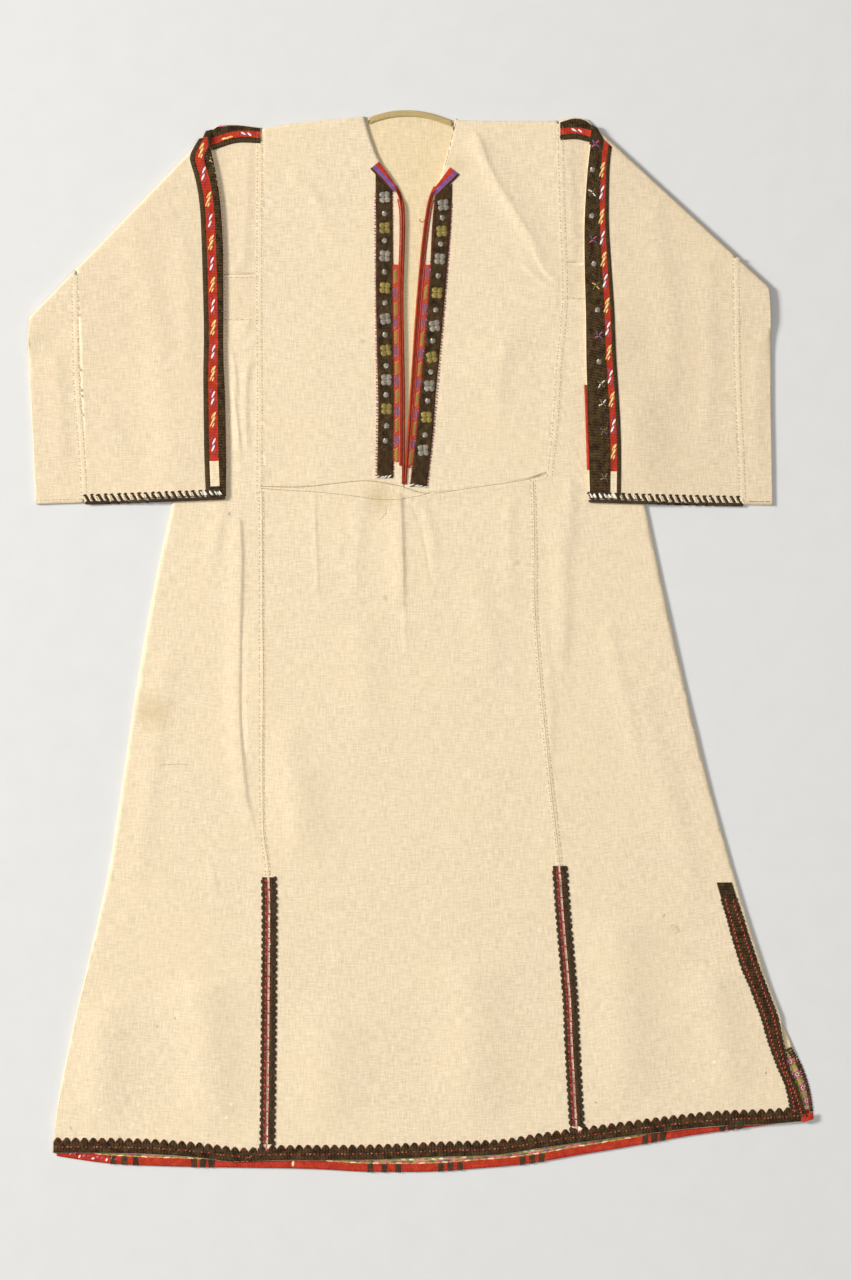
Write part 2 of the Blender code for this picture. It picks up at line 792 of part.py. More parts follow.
def add_loft(name, rings, material):
    """A closed body through rings of points, each ring a loop, capped at both ends."""
    count = len(rings[0])
    points = [p for ring in rings for p in ring]
    faces = []
    for r in range(len(rings) - 1):
        for k in range(count):
            a, b = r * count + k, r * count + (k + 1) % count
            faces.append((a, b, b + count, a + count))
    half = count // 2
    for ring_start, flip in ((0, True), ((len(rings) - 1) * count, False)):
        for k in range(half - 1):
            quad = (k, k + 1, count - 2 - k, count - 1 - k)
            quad = tuple(ring_start + i for i in quad)
            faces.append(tuple(reversed(quad)) if flip else quad)
    obj = add_object(name, points, faces, material)
    face_outwards(obj)
    return obj


def face_outwards(obj):
    """Turns every face to look out of the body."""
    shape = bmesh.new()
    shape.from_mesh(obj.data)
    bmesh.ops.recalc_face_normals(shape, faces=shape.faces)
    shape.to_mesh(obj.data)
    shape.free()


def add_sleeve(side, sleeve):
    """The main width of the sleeve and the narrower strip along its underarm."""
    main, strip = [], []
    for station in SLEEVE_STATIONS:
        section = sleeve.section(station)
        width = sleeve.width(section)
        seam = section.seam_share * width
        outer = channel_profile(0.0, seam - TUBE_SEAM_HALF, 0.0, ACROSS_MAIN)
        inner = channel_profile(0.0, seam - TUBE_SEAM_HALF, CLOTH, ACROSS_MAIN)
        main.append([sleeve.place(station, a, h) for a, h in outer + inner[::-1]])
        outer = channel_profile(width, seam + TUBE_SEAM_HALF, 0.0, ACROSS_STRIP)
        inner = channel_profile(width, seam + TUBE_SEAM_HALF, CLOTH, ACROSS_STRIP)
        strip.append([sleeve.place(station, a, h) for a, h in outer + inner[::-1]])
    add_loft("sleeve_" + side, main, "cotton")
    add_loft("sleeve_strip_" + side, strip, "cotton")


def band_ring(sleeve, station, width, upper_ply):
    """Section of a band from the middle of the sleeve's top fold to its own width."""
    radius = TUBE / 2
    spots = []
    for lift in (TRIM_GAP, TRIM_GAP + TRIM):
        line = []
        for angle in BAND_WRAP:
            reach = radius + lift
            turn = math.radians(angle)
            line.append((radius - reach * math.sin(turn), radius - reach * math.cos(turn)))
        line += [(lerp(radius, width, k / 2), -lift) for k in range(3)]
        spots.append(line)
    loop = spots[0] + spots[1][::-1]
    if upper_ply:
        loop = [(a, TUBE - h) for a, h in loop]
    return [sleeve.place(station, a, h) for a, h in loop]


def add_sleeve_bands(side, sleeve, widths):
    """The braid on the folded half of a sleeve, and its run over the shoulder."""
    for name, stations, (first, last), upper_ply in (
        ("sleeve_band_" + side, FOLDED_BAND_STATIONS, widths, False),
        ("shoulder_band_" + side, SHOULDER_BAND_STATIONS, SHOULDER_BAND, True),
    ):
        steps = len(stations) - 1
        rings = [
            band_ring(sleeve, station, lerp(first, last, k / steps), upper_ply)
            for k, station in enumerate(stations)
        ]
        add_loft(name, rings, "black_wool")


def strip_grid(rows, columns, steps):
    """Points of a long narrow strip from a table of its left and right edges."""
    left = [(row.y, row.left) for row in rows]
    right = [(row.y, row.right) for row in rows]
    low, high = rows[0].y, rows[-1].y
    grid = []
    for k in range(steps + 1):
        y = lerp(low, high, k / steps)
        xl, xr = curve_value(left, y), curve_value(right, y)
        grid.append([(lerp(xl, xr, c / columns), y) for c in range(columns + 1)])
    return grid


def lay_trim(name, grid, material, thickness=TRIM):
    lay_panel(name, grid, lambda x, y: front_top(x, y) + TRIM_GAP, thickness, material)


def quad_grid(corners, columns, rows):
    """Points between four corners: low left, low right, high left, high right."""
    low_left, low_right, high_left, high_right = corners

    def between(a, b, share):
        return (lerp(a[0], b[0], share), lerp(a[1], b[1], share))

    return [
        [
            between(between(low_left, high_left, up), between(low_right, high_right, up), across)
            for across in even_shares(columns)
        ]
        for up in even_shares(rows)
    ]


def pointed_strip(rows, peaks):
    """A long strip whose upper end runs up to a slanted edge."""
    grid = strip_grid(rows, len(peaks) - 1, 16)
    grid.append([(x, y + peak) for (x, y), peak in zip(grid[-1], peaks)])
    return grid


def build_placket():
    lay_trim("placket_left", pointed_strip(PLACKET_LEFT, PEAKS_LEFT), "black_wool")
    lay_trim("placket_right", pointed_strip(PLACKET_RIGHT, PEAKS_RIGHT), "black_wool")
    lay_trim("red_strip_left", strip_grid(RED_STRIP_LEFT, 2, 12), "pattern_braid")
    lay_trim("red_strip_right", strip_grid(RED_STRIP_RIGHT, 2, 12), "pattern_braid")
    for name, slit, sign in (("piping_left", SLIT_LEFT, -1), ("piping_right", SLIT_RIGHT, 1)):
        grid = []
        for share in even_shares(18):
            y = lerp(PIPING_BOTTOM, PIPING_TOP, share)
            near = edge_x(slit, y) + sign * PIPING_INSET
            far = near + sign * PIPING_WIDTH
            grid.append([(x, y) for x in sorted((near, lerp(near, far, 0.5), far))])
        lay_trim(name, grid, "red_wool")
    lay_trim("neck_tab_left", quad_grid(TAB_LEFT, 2, 4), "pattern_braid")
    lay_trim("neck_tab_right", quad_grid(TAB_RIGHT, 2, 4), "pattern_braid")


def build_skirt_braids():
    """Two raised rows either side of each skirt seam, as one strip with a groove."""
    offsets = (-SEAM_BRAID_HALF, -SEAM_BRAID_GROOVE, SEAM_BRAID_GROOVE, SEAM_BRAID_HALF)
    for name, seam, top_y in (
        ("seam_braid_left", LEFT_SKIRT_SEAM, LEFT_BRAID_TOP),
        ("seam_braid_right", RIGHT_SKIRT_SEAM, RIGHT_BRAID_TOP),
    ):
        foot = run_y(FRONT_HEM, edge_x(seam, 0)) + HEM_BRAID_HEIGHT + SCALLOP_HEIGHT
        ys = [lerp(foot + BRAID_CLEAR, top_y, share) for share in even_shares(22)]
        lay_trim(name, [[(edge_x(seam, y) + dx, y) for dx in offsets] for y in ys], "black_wool")
    lay_trim("side_braid_right", strip_grid(SIDE_BRAID, 3, 16), "black_wool")


def scalloped_braid(name, start_x, end_x):
    """A strip along the front's hem, with a row of rounded points along its upper edge."""
    count = round((end_x - start_x) / SCALLOP_PITCH)
    shares = [(k + at) / count for k in range(count) for at, _ in SCALLOP_SHAPE] + [1.0]
    peaks = [peak for _ in range(count) for _, peak in SCALLOP_SHAPE] + [0.0]
    lower, upper = [], []
    for share, peak in zip(shares, peaks):
        x = lerp(start_x, end_x, share)
        hem = run_y(FRONT_HEM, x)
        lower.append((x, hem + HEM_BRAID_INSET))
        upper.append((x, hem + HEM_BRAID_HEIGHT + SCALLOP_HEIGHT * peak))
    lay_trim(name, [lower, upper], "black_wool")


def lay_on_back(name, grid, material):
    lay_panel(name, grid, lambda x, y: BACK_TOP + TRIM_GAP, FACING, material)


def strip_along(table, start_x, end_x, rises, steps):
    """Points of a strip that follows a curve y(x) at the given distances above it."""
    xs = [lerp(start_x, end_x, share) for share in even_shares(steps)]
    return [[(x, run_y(table, x) + rise) for x in xs] for rise in rises]


def build_hem():
    for name, start_x, end_x in HEM_BRAIDS:
        scalloped_braid(name, start_x, end_x)
    binding = strip_along(BACK_HEM, *BINDING_ENDS, (0.0, BINDING_HEIGHT), 44)
    lay_on_back("hem_binding", binding, "red_wool")
    facing = strip_along(
        BACK_HEM, *FACING_ENDS, (BINDING_HEIGHT + PLY_GAP, BINDING_HEIGHT + FACING_HEIGHT), 44
    )
    lay_on_back("hem_facing", facing, "pattern_braid")
    side = []
    for share in even_shares(8):
        y = lerp(SIDE_FACING_FOOT, SIDE_FACING_TOP, share)
        edge = edge_x(RIGHT_OUTLINE, y) - SIDE_FACING_INSET
        side.append([(edge - SIDE_FACING_WIDTH * part, y) for part in (1.0, 0.5, 0.0)])
    lay_on_back("side_facing", side, "pattern_braid")
    neck = strip_along(BACK_NECK, *NECK_HEM_ENDS, (-NECK_HEM_WIDTH, -TRIM_GAP), 16)
    lay_on_back("neck_hem", neck, "cotton")


def main():
    clear_scene()
    build_backs(*build_fronts())
    left = Sleeve(-1, LEFT_UNDER, LEFT_FOLDED)
    right = Sleeve(1, RIGHT_UNDER, RIGHT_FOLDED)
    add_sleeve("left", left)
    add_sleeve("right", right)
    add_sleeve_bands("left", left, SLEEVE_BAND_LEFT)
    add_sleeve_bands("right", right, SLEEVE_BAND_RIGHT)
    build_placket()
    build_skirt_braids()
    build_hem()


main()
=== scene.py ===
"""Looks of a long hand-woven chemise with black wool braid, laid flat with its sleeves folded down.

Lengths are in millimetres on the laid garment: x from its centre line, y up from its lowest hem.
"""

import math
from collections import namedtuple

import bmesh
import bpy
import numpy as np
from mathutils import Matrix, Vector
from mathutils.bvhtree import BVHTree
from mathutils.kdtree import KDTree


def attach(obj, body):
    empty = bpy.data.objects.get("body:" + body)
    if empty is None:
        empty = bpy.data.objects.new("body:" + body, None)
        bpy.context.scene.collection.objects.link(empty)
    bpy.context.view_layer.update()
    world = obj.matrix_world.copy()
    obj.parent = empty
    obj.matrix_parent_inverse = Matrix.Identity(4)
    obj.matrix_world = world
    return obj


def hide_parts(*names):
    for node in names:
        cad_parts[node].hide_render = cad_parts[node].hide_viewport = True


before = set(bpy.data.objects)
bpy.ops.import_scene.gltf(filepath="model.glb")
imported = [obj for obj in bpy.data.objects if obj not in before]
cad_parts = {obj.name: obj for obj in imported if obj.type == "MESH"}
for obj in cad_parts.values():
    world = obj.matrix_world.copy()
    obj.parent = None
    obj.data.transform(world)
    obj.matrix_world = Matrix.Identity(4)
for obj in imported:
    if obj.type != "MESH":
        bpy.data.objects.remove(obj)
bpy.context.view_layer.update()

# Where the frame's origin is on the laid garment
CENTRE_X, MIDDLE_Y = 0.2, 610.5
# Height of the front's upper face in the solids, and one that only upper faces of the back reach
FRONT_TOP, BACK_TOP = 2.8, 0.6
# Near its hem the front lies over the facings: how much it rises, how far in fully, how far it fades
HEM_RISE, HEM_FULL, HEM_REACH = 1.2, 20.0, 60.0
# The front is free between these folds and below the cuffs; its creases fade out over CLEAR
SLEEVE_LEFT_X, SLEEVE_RIGHT_X, CUFF_Y, CLEAR = -222.0, 188.0, 764.0, 15.0
# A crease fades in at its first point and out at its last: share of its length, and at most how far
FADE_IN, FADE_OUT = (0.12, 22), (0.35, 90)
# How much a full lean narrows one side of a crease
LEAN_SHARE = 0.7
# Thickness of a laid braid, and how far in from its rim it is rounded
TAPE_THICK, TAPE_ROUND = 1.15, 2.2
# Given as the distance where a point is out of a line's reach, and the height that rays drop from
FAR, ABOVE_ALL = 1e9, 60.0
# Faces that rise more than this are cut finer, in so many rounds at most; points this near, in m, are one
RISING, MOST_ROUNDS, WELDED = 0.15, 10, 2e-5
# Size of a strip's cells across and along it, and how far down a gap starts that it bridges
CELL_WIDTH, CELL_LENGTH, GAP_DEPTH = 4.5, 1.8, 1.6
# How much a strip's thickness wavers, on a solid's form and for a seam of the cloth
BRAID_WAVES, SEAM_WAVES = 0.04, 0.3


# ---------------------------------------------------------------- lines on the garment


def smoothstep(value):
    value = np.clip(value, 0.0, 1.0)
    return value * value * (3 - 2 * value)


class Line:
    """A smooth line through a few points, to measure along and across."""

    def __init__(self, *points):
        knots = np.array(points, float)
        knots = np.vstack([2 * knots[0] - knots[1], knots, 2 * knots[-1] - knots[-2]])
        dense = []
        for a, b, c, d in zip(knots, knots[1:], knots[2:], knots[3:]):
            count = max(2, int(np.hypot(*(c - b)) / 5.0))
            for t in np.arange(count) / count:
                dense.append(
                    b + 0.5 * t * (c - a + t * (2 * a - 5 * b + 4 * c - d + t * (3 * (b - c) + d - a)))
                )
        self.points = np.vstack([dense, knots[-2]])
        steps = np.diff(self.points, axis=0)
        self.lengths = np.hypot(steps[:, 0], steps[:, 1])
        self.starts = np.concatenate([[0.0], np.cumsum(self.lengths)])
        self.steps = steps / self.lengths[:, None]
        self.length = self.starts[-1]

    def at(self, along, across=0.0):
        """(x, y, heading in degrees) at a place; across is positive to the right of the line."""
        k = int(np.clip(np.searchsorted(self.starts, along) - 1, 0, len(self.lengths) - 1))
        ux, uy = self.steps[k]
        x, y = self.points[k] + (along - self.starts[k]) * self.steps[k]
        return x + across * uy, y - across * ux, math.degrees(math.atan2(uy, ux))

    def x_at(self, y):
        order = np.argsort(self.points[:, 1])
        return float(np.interp(y, self.points[order, 1], self.points[order, 0]))

    def y_at(self, x):
        return np.interp(x, self.points[:, 0], self.points[:, 1])

    def measure(self, xy, reach=FAR):
        """(along, across) of every point; beyond reach, across is FAR."""
        along, across = np.zeros(len(xy)), np.full(len(xy), FAR)
        low, high = self.points.min(0) - reach, self.points.max(0) + reach
        near = np.flatnonzero(((xy > low) & (xy < high)).all(1))
        for part in np.array_split(near, max(1, len(near) // 4000)):
            if not len(part):
                continue
            off = xy[part, None, :] - self.points[None, :-1, :]
            t = (off * self.steps).sum(2).clip(0, self.lengths)
            gap = off - t[..., None] * self.steps
            side = self.steps[:, 1] * off[..., 0] - self.steps[:, 0] * off[..., 1]
            k = (gap**2).sum(2).argmin(1)
            row = np.arange(len(part))
            along[part] = self.starts[k] + t[row, k]
            size = np.sqrt((gap[row, k] ** 2).sum(1))
            across[part] = np.where(side[row, k] < 0, -size, size)
        return along, across


FRONT_HEM = Line(
    (-423, 22), (-325, 21), (-261, 17), (-199, 10), (-178, 13), (-57, 14), (11, 17), (90, 20),
    (136, 27), (186, 34), (294, 48), (346, 53), (400, 55), (447, 59),
)
BACK_HEM = Line(
    (-423, 19), (-361, 10), (-272, 6), (-127, 3.5), (-67, 0.3), (-28, 0), (12, 0.3), (60, 3.5),
    (121, 9), (180, 19), (240, 29), (300, 40), (361, 49), (400, 54), (452, 62),
)
LEFT_SEAM = Line((-176, 12), (-174, 198), (-174, 336), (-181, 408), (-181, 574), (-182, 790), (-182, 1200))
RIGHT_SKIRT_SEAM = Line(
    (184, 32), (180.5, 48), (174.5, 152), (172.5, 198), (164, 301), (160, 353), (144, 497),
    (132, 635), (131, 704), (129, 800),
)
RIGHT_BODICE_SEAM = Line((147, 802), (154, 866), (157.5, 929), (164, 1006), (161, 1110), (159, 1208))
WAIST = Line(
    (-183, 788), (-138, 787), (-90, 792), (-57, 794), (-23, 788), (8, 780), (63, 787), (129, 797), (148, 805)
)
SKIRT_TOP = Line((-180, 786), (-122, 782), (-80, 778), (-50, 773.5), (-23, 774), (10, 780))
SLIT_LEFT = Line((-18.6, 790), (-18, 888), (-20, 1003), (-19, 1110), (-36.5, 1146), (-51, 1174), (-64, 1212))
SLIT_RIGHT = Line((-17.8, 790), (-12.7, 866), (-2.5, 1013), (9, 1112), (24, 1146), (31, 1171), (40, 1208))
LEFT_STRIP_SEAM = Line((-397, 1031), (-396.5, 992), (-396, 960), (-394, 900), (-389, 830), (-386, 771))
RIGHT_STRIP_SEAM = Line((362.5, 1051), (363, 1040), (364, 980), (366, 900), (369, 830), (371, 769))
LEFT_BAND_EDGE = Line(
    (-254, 1188), (-260.5, 1177), (-264.5, 1165), (-258, 1141), (-253, 1109), (-250.7, 1060), (-248.4, 968),
    (-249, 913), (-248, 829), (-246, 776),
)
RIGHT_BAND_EDGE = Line(
    (220.5, 1178), (218.6, 1165), (217.4, 1141), (217, 1093), (219.7, 1044), (223, 996), (225.4, 938), (229.5, 874),
    (231, 826), (230.7, 774),
)
LEFT_BAND_FOLD = Line(
    (-243.5, 1190), (-234, 1146), (-229, 1109), (-226.3, 1060), (-225.8, 1000), (-225.8, 940), (-223.8, 885),
    (-222.8, 830), (-222.8, 777),
)
RIGHT_BAND_FOLD = Line(
    (198.5, 1198), (194, 1165), (191, 1130), (189, 1088), (189.2, 1040), (190.6, 985), (191.2, 930), (192.8, 878),
    (195.2, 774),
)
LEFT_SHOULDER_EDGE = Line((-183.5, 1183), (-211.6, 1183.2), (-239.5, 1174.5))
RIGHT_SHOULDER_EDGE = Line((161.5, 1186.5), (180, 1187.5), (195, 1184))
LEFT_PLACKET = Line((-40.2, 798), (-39, 881), (-39.8, 940), (-41, 1027), (-41.2, 1140))
RIGHT_PLACKET = Line((-1.9, 788), (5.5, 851), (13.5, 940), (21.8, 1042), (27.5, 1130))
SIDE_BRAID = Line((430.2, 76), (421.7, 107), (411, 140), (402.2, 176), (390.2, 209), (360.2, 298), (349.7, 333))
SIDE_BRAID_LEFT = Line(
    (427.5, 64), (420.6, 97), (410.9, 121), (401.8, 145), (392.6, 176), (380.5, 209), (367.5, 241),
    (351, 298), (341, 333),
)
SIDE_BRAID_RIGHT = Line(
    (444.5, 64), (434.6, 95), (424.4, 121), (418.4, 145), (411.8, 176), (400, 209), (388, 241),
    (369.5, 298), (358.5, 333),
)
SIDE_EDGING = Line((450.4, 71), (447.4, 88.6), (442.5, 106.5), (434.9, 124.3), (424.7, 141))
SIDE_FACING = Line((442, 76), (435, 104), (426.5, 141))
LEFT_TAB = Line((-28.5, 1129), (-39, 1144), (-51, 1158.7))
RIGHT_TAB = Line((15.7, 1125.3), (27, 1138.5), (38.3, 1152.3))
LEFT_GUSSET_TOP = Line((-224, 1030), (-200, 1030), (-184, 1031))
LEFT_GUSSET_FOOT = Line((-224, 981.5), (-205, 982), (-184, 980))
RIGHT_GUSSET_TOP = Line((165, 1044), (176, 1044), (190, 1044))
RIGHT_GUSSET_FOOT = Line((164, 1006), (176, 1006), (190, 1006))
LEFT_CUFF = Line((-443, 768), (-340, 771), (-222, 775.5))
RIGHT_CUFF = Line((194, 772), (300, 769), (406, 767))

# ---------------------------------------------------------------- creases and puckers

Crease = namedtuple("Crease", "height half_width lean line")


def creases(*rows):
    """Rows of height, half width, lean to one side and the points of the line."""
    return [Crease(*row[:3], Line(*row[3:])) for row in rows]


BODY_CREASES = creases(
    (1.7, 9.0, 0.85, (-24, 792), (-23, 768), (-20.5, 700), (-20, 630)),
    (-0.45, 1.9, 0.0, (-12, 770), (1, 742), (9, 704), (15, 666)),
    (0.6, 6.0, 0.3, (4, 768), (14, 735), (22, 690)),
    (0.5, 3.4, 0.5, (-122, 786), (-119, 710), (-116, 632)),
    (1.5, 8.0, 0.85, (-209, 760), (-206, 710), (-208, 600), (-208, 514), (-201, 436), (-194, 408), (-183, 366)),
    (1.0, 8.0, 0.5, (-222, 782), (-229, 754), (-240, 690)),
    (1.3, 18.0, 0.0, (-155, 520), (-138, 345)),
    (1.0, 8.0, -0.3, (172, 800), (174, 704)),
    (1.3, 11.0, 0.4, (161, 775), (166, 660), (161, 540)),
    (0.9, 6.0, 0.5, (50, 1205), (66, 1190), (82, 1150), (118, 1090), (160, 1022)),
    (1.3, 13.0, 0.0, (55, 1195), (160, 1030)),
    (1.3, 4.0, 0.6, (-221, 962), (-214, 925), (-209, 880)),
    (1.4, 4.6, 0.6, (-220, 925), (-213, 880), (-205, 810)),
    (0.9, 5.0, 0.4, (-196, 940), (-201, 880), (-196, 812)),
    (0.7, 5.0, 0.4, (-192, 1020), (-196, 985), (-206, 955)),
    (0.8, 4.5, 0.4, (163, 1012), (140, 1024), (108, 1054)),
    (0.7, 4.0, 0.4, (161, 1020), (140, 1042), (126, 1074)),
    (0.7, 4.5, -0.3, (162, 1004), (136, 1002), (102, 1012)),
    (0.6, 8.0, 0.2, (-150, 1150), (-120, 1120), (-96, 1060)),
    (0.7, 9.0, 0.2, (100, 960), (92, 900), (96, 850)),
    (0.7, 9.0, 0.3, (-66, 770), (-74, 700), (-70, 640)),
    (0.7, 8.0, 0.3, (106, 786), (102, 720), (108, 640)),
    (0.6, 7.0, 0.3, (140, 640), (150, 540), (148, 440)),
    (1.0, 24.0, 0.0, (60, 905), (130, 985)),
    (0.5, 5.0, 0.3, (-100, 246), (-76, 230)),
    (0.6, 5.0, 0.3, (-241, 356), (-233, 314)),
    (0.6, 6.0, 0.3, (-84, 735), (-92, 720), (-96, 704)),
    (0.8, 14.0, 0.0, (60, 700), (90, 560)),
    (0.9, 20.0, 0.0, (-70, 640), (-60, 480)),
    (0.8, 10.0, 0.3, (215, 640), (262, 420)),
    (0.9, 15.0, 0.3, (250, 560), (330, 280)),
    (0.8, 13.0, 0.3, (-285, 610), (-330, 300)),
    (1.4, 22.0, 0.0, (-140, 470), (-120, 360)),
    (2.8, 30.0, 0.0, (-255, 230), (-232, 20)),
    (2.2, 26.0, 0.0, (-360, 200), (-372, 20)),
    (2.2, 34.0, 0.0, (-100, 190), (-112, 15)),
    (2.6, 36.0, 0.0, (60, 250), (66, 20)),
    (2.6, 32.0, 0.0, (225, 300), (243, 40)),
    (2.0, 24.0, 0.0, (330, 240), (366, 55)),
)
SLEEVE_CREASES = creases(
    (0.9, 16.0, 0.2, (-330, 1090), (-300, 960), (-296, 840)),
    (0.7, 9.0, 0.3, (-420, 950), (-412, 860), (-414, 790)),
    (0.8, 12.0, 0.0, (-270, 1080), (-268, 960), (-275, 880)),
    (0.8, 20.0, 0.0, (-360, 880), (-340, 780)),
    (0.6, 5.0, 0.3, (-196, 1180), (-200, 1090), (-205, 1020)),
    (0.9, 14.0, 0.2, (262, 1120), (285, 1000), (290, 860)),
    (0.7, 10.0, 0.3, (330, 1060), (335, 930), (328, 800)),
    (0.8, 18.0, 0.0, (250, 900), (246, 790)),
    (0.6, 7.0, 0.0, (388, 960), (386, 860), (391, 790)),
    (0.6, 5.0, 0.3, (172, 1180), (176, 1100), (178, 1030)),
)
Pucker = namedtuple("Pucker", "height pitch reach line")
PUCKERS = [
    Pucker(0.48, 13.0, 12.0, LEFT_SEAM),
    Pucker(0.40, 11.0, 11.0, RIGHT_SKIRT_SEAM),
    Pucker(0.50, 12.0, 13.0, RIGHT_BODICE_SEAM),
    Pucker(0.48, 9.0, 10.0, WAIST),
    Pucker(0.42, 11.0, 10.0, LEFT_STRIP_SEAM),
    Pucker(0.42, 11.5, 10.0, RIGHT_STRIP_SEAM),
    Pucker(0.30, 8.0, 13.0, SIDE_BRAID),
]
SLEEVE_PUCKERS = [PUCKERS[k] for k in (0, 2, 4, 5)]


def near_line(across, reach):
    """1 on a line and nearly 0 from two reaches away."""
    return np.exp(-np.minimum((across / reach) ** 2, 50))


def crease_height(crease, xy):
    """Soft ridge along a line, fading at its ends; it is steeper on its left for a lean above 0."""
    length, lean = crease.line.length, LEAN_SHARE * crease.lean
    first, last = [min(share * length, most) for share, most in (FADE_IN, FADE_OUT)]
    along, across = crease.line.measure(xy, 3 * crease.half_width)
    width = crease.half_width * np.where(across > 0, 1 + lean, 1 - lean)
    ends = smoothstep(along / first) * smoothstep((length - along) / last)
    return crease.height * ends * near_line(across, width)


def pucker_height(pucker, xy):
    """Small waves across a seam, drawn up by its thread."""
    along, across = pucker.line.measure(xy, 3 * pucker.reach)
    uneven = along + 3.1 * np.sin(along / 23.0) + 1.7 * np.sin(along / 7.3)
    size = 0.55 + 0.45 * np.sin(along / 41.0 + pucker.pitch)
    wave = (0.5 + 0.5 * np.sin(2 * math.pi * uneven / pucker.pitch + 0.22 * np.abs(across))) ** 1.6
    return 1.2 * pucker.height * size * wave * near_line(across, pucker.reach)


def slack(xy):
    """The slight unevenness of cloth that lies loose."""
    x, y = xy[:, 0], xy[:, 1]
    wave = np.sin(x / 31 + 1.3 * np.sin(y / 57)) * np.sin(y / 43 + 0.9 * np.sin(x / 37 + 2))
    wave += 0.5 * np.sin(x / 17 + y / 61 + 1) * np.sin(y / 21 - x / 83)
    return 0.17 * (wave + 1.5)


def clear_of_sleeves(xy):
    """0 where a folded sleeve lies on the body, 1 well clear of it."""
    x, y = xy[:, 0], xy[:, 1]
    between = smoothstep((x - SLEEVE_LEFT_X) / CLEAR) * smoothstep((SLEEVE_RIGHT_X - x) / CLEAR)
    return np.maximum(between, smoothstep((CUFF_Y - y) / CLEAR))


def relief(xy, pressed, drawn_up):
    """What loose cloth, some creases and some puckers add to a face."""
    total = slack(xy)
    for crease in pressed:
        total += crease_height(crease, xy)
    for pucker in drawn_up:
        total += pucker_height(pucker, xy)
    return total


def front_height(xy):
    """Height of the front's upper face."""
    total = relief(xy, BODY_CREASES, PUCKERS)
    rise = HEM_RISE * (1 - smoothstep((xy[:, 1] - FRONT_HEM.y_at(xy[:, 0]) - HEM_FULL) / HEM_REACH))
    return FRONT_TOP + np.maximum(total * clear_of_sleeves(xy), rise + 0.25 * total)


def sleeve_relief(xy):
    """What the creases add to a sleeve's upper face; they fade towards its inner fold."""
    past_fold = np.where(
        xy[:, 0] < 0, np.abs(xy[:, 0] - SLEEVE_LEFT_X), np.abs(xy[:, 0] - SLEEVE_RIGHT_X - 3)
    )
    return relief(xy, SLEEVE_CREASES, SLEEVE_PUCKERS) * smoothstep(past_fold / 14.0)


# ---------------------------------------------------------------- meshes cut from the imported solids


def garment_points(mesh):
    """A mesh's points in millimetres on the laid garment."""
    co = np.empty(len(mesh.vertices) * 3)
    mesh.vertices.foreach_get("co", co)
    return co.reshape(-1, 3) * 1000 + (CENTRE_X, MIDDLE_Y, 0)


def add_object(name, data):
    obj = bpy.data.objects.new(name, data)
    bpy.context.scene.collection.objects.link(obj)
    return obj


def write_points(mesh, points):
    mesh.vertices.foreach_set("co", ((points - (CENTRE_X, MIDDLE_Y, 0)) / 1000).ravel())
    mesh.update()


def finer_near_creases(middles, spacing):
    """Spacing wanted at each place: much less on a sharp crease."""
    wanted = np.full(len(middles), spacing)
    for crease in BODY_CREASES:
        steep = crease.half_width * (1 - LEAN_SHARE * abs(crease.lean))
        if steep < 5:
            across = np.abs(crease.line.measure(middles, 12)[1])
            finer = np.minimum(wanted, max(1.6, 0.55 * steep))
            wanted = np.where(across < 2.4 * steep + 1, finer, wanted)
    return wanted


def refined_copy(name, node, spacing, creased=False):
    """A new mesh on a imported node's form, its upper faces cut down to the spacing."""
    shape = bmesh.new()
    shape.from_mesh(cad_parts[node].data)
    bmesh.ops.remove_doubles(shape, verts=shape.verts, dist=WELDED)
    for _ in range(MOST_ROUNDS):
        edges = [e for e in shape.edges if any(f.normal.z > RISING for f in e.link_faces)]
        ends = np.array([[*e.verts[0].co, *e.verts[1].co] for e in edges]) * 1000
        sizes = np.sqrt(((ends[:, :3] - ends[:, 3:]) ** 2).sum(1))
        middles = (ends[:, :2] + ends[:, 3:5]) / 2 + (CENTRE_X, MIDDLE_Y)
        wanted = finer_near_creases(middles, spacing) if creased else spacing
        long = [edges[k] for k in np.flatnonzero(sizes > wanted)]
        if not long:
            break
        bmesh.ops.subdivide_edges(shape, edges=long, cuts=1)
        bmesh.ops.triangulate(shape, faces=[f for f in shape.faces if len(f.verts) > 3])
    mesh = bpy.data.meshes.new(name)
    shape.to_mesh(mesh)
    shape.free()
    return add_object(name, mesh)


def normals_up(mesh):
    found = np.empty(len(mesh.vertices) * 3, np.float32)
    mesh.vertices.foreach_get("normal", found)
    return found.reshape(-1, 3)[:, 2]


def even_out(mesh, points, free, rounds):
    """Lets the free points settle between their neighbours, so that no flat facets stay."""
    pairs = np.empty(len(mesh.edges) * 2, np.int32)
    mesh.edges.foreach_get("vertices", pairs)
    a, b = pairs.reshape(-1, 2).T
    count = np.bincount(a, minlength=len(points)) + np.bincount(b, minlength=len(points))
    z = points[:, 2]
    for _ in range(rounds):
        total = np.bincount(a, z[b], len(points)) + np.bincount(b, z[a], len(points))
        z = np.where(free, 0.4 * z + 0.6 * total / count, z)
    points[:, 2] = z


def lay_map(obj, across, along):
    """Writes each point's place on the cloth or tape, in millimetres, for the materials."""
    mesh = obj.data
    corners = np.empty(len(mesh.loops), np.int32)
    mesh.loops.foreach_get("vertex_index", corners)
    places = np.stack([across, along], 1).astype(np.float32)[corners]
    mesh.uv_layers.new(name="place_mm").data.foreach_set("uv", places.ravel())
    mesh.polygons.foreach_set("use_smooth", np.ones(len(mesh.polygons), bool))
    mesh.set_sharp_from_angle(angle=math.radians(55))


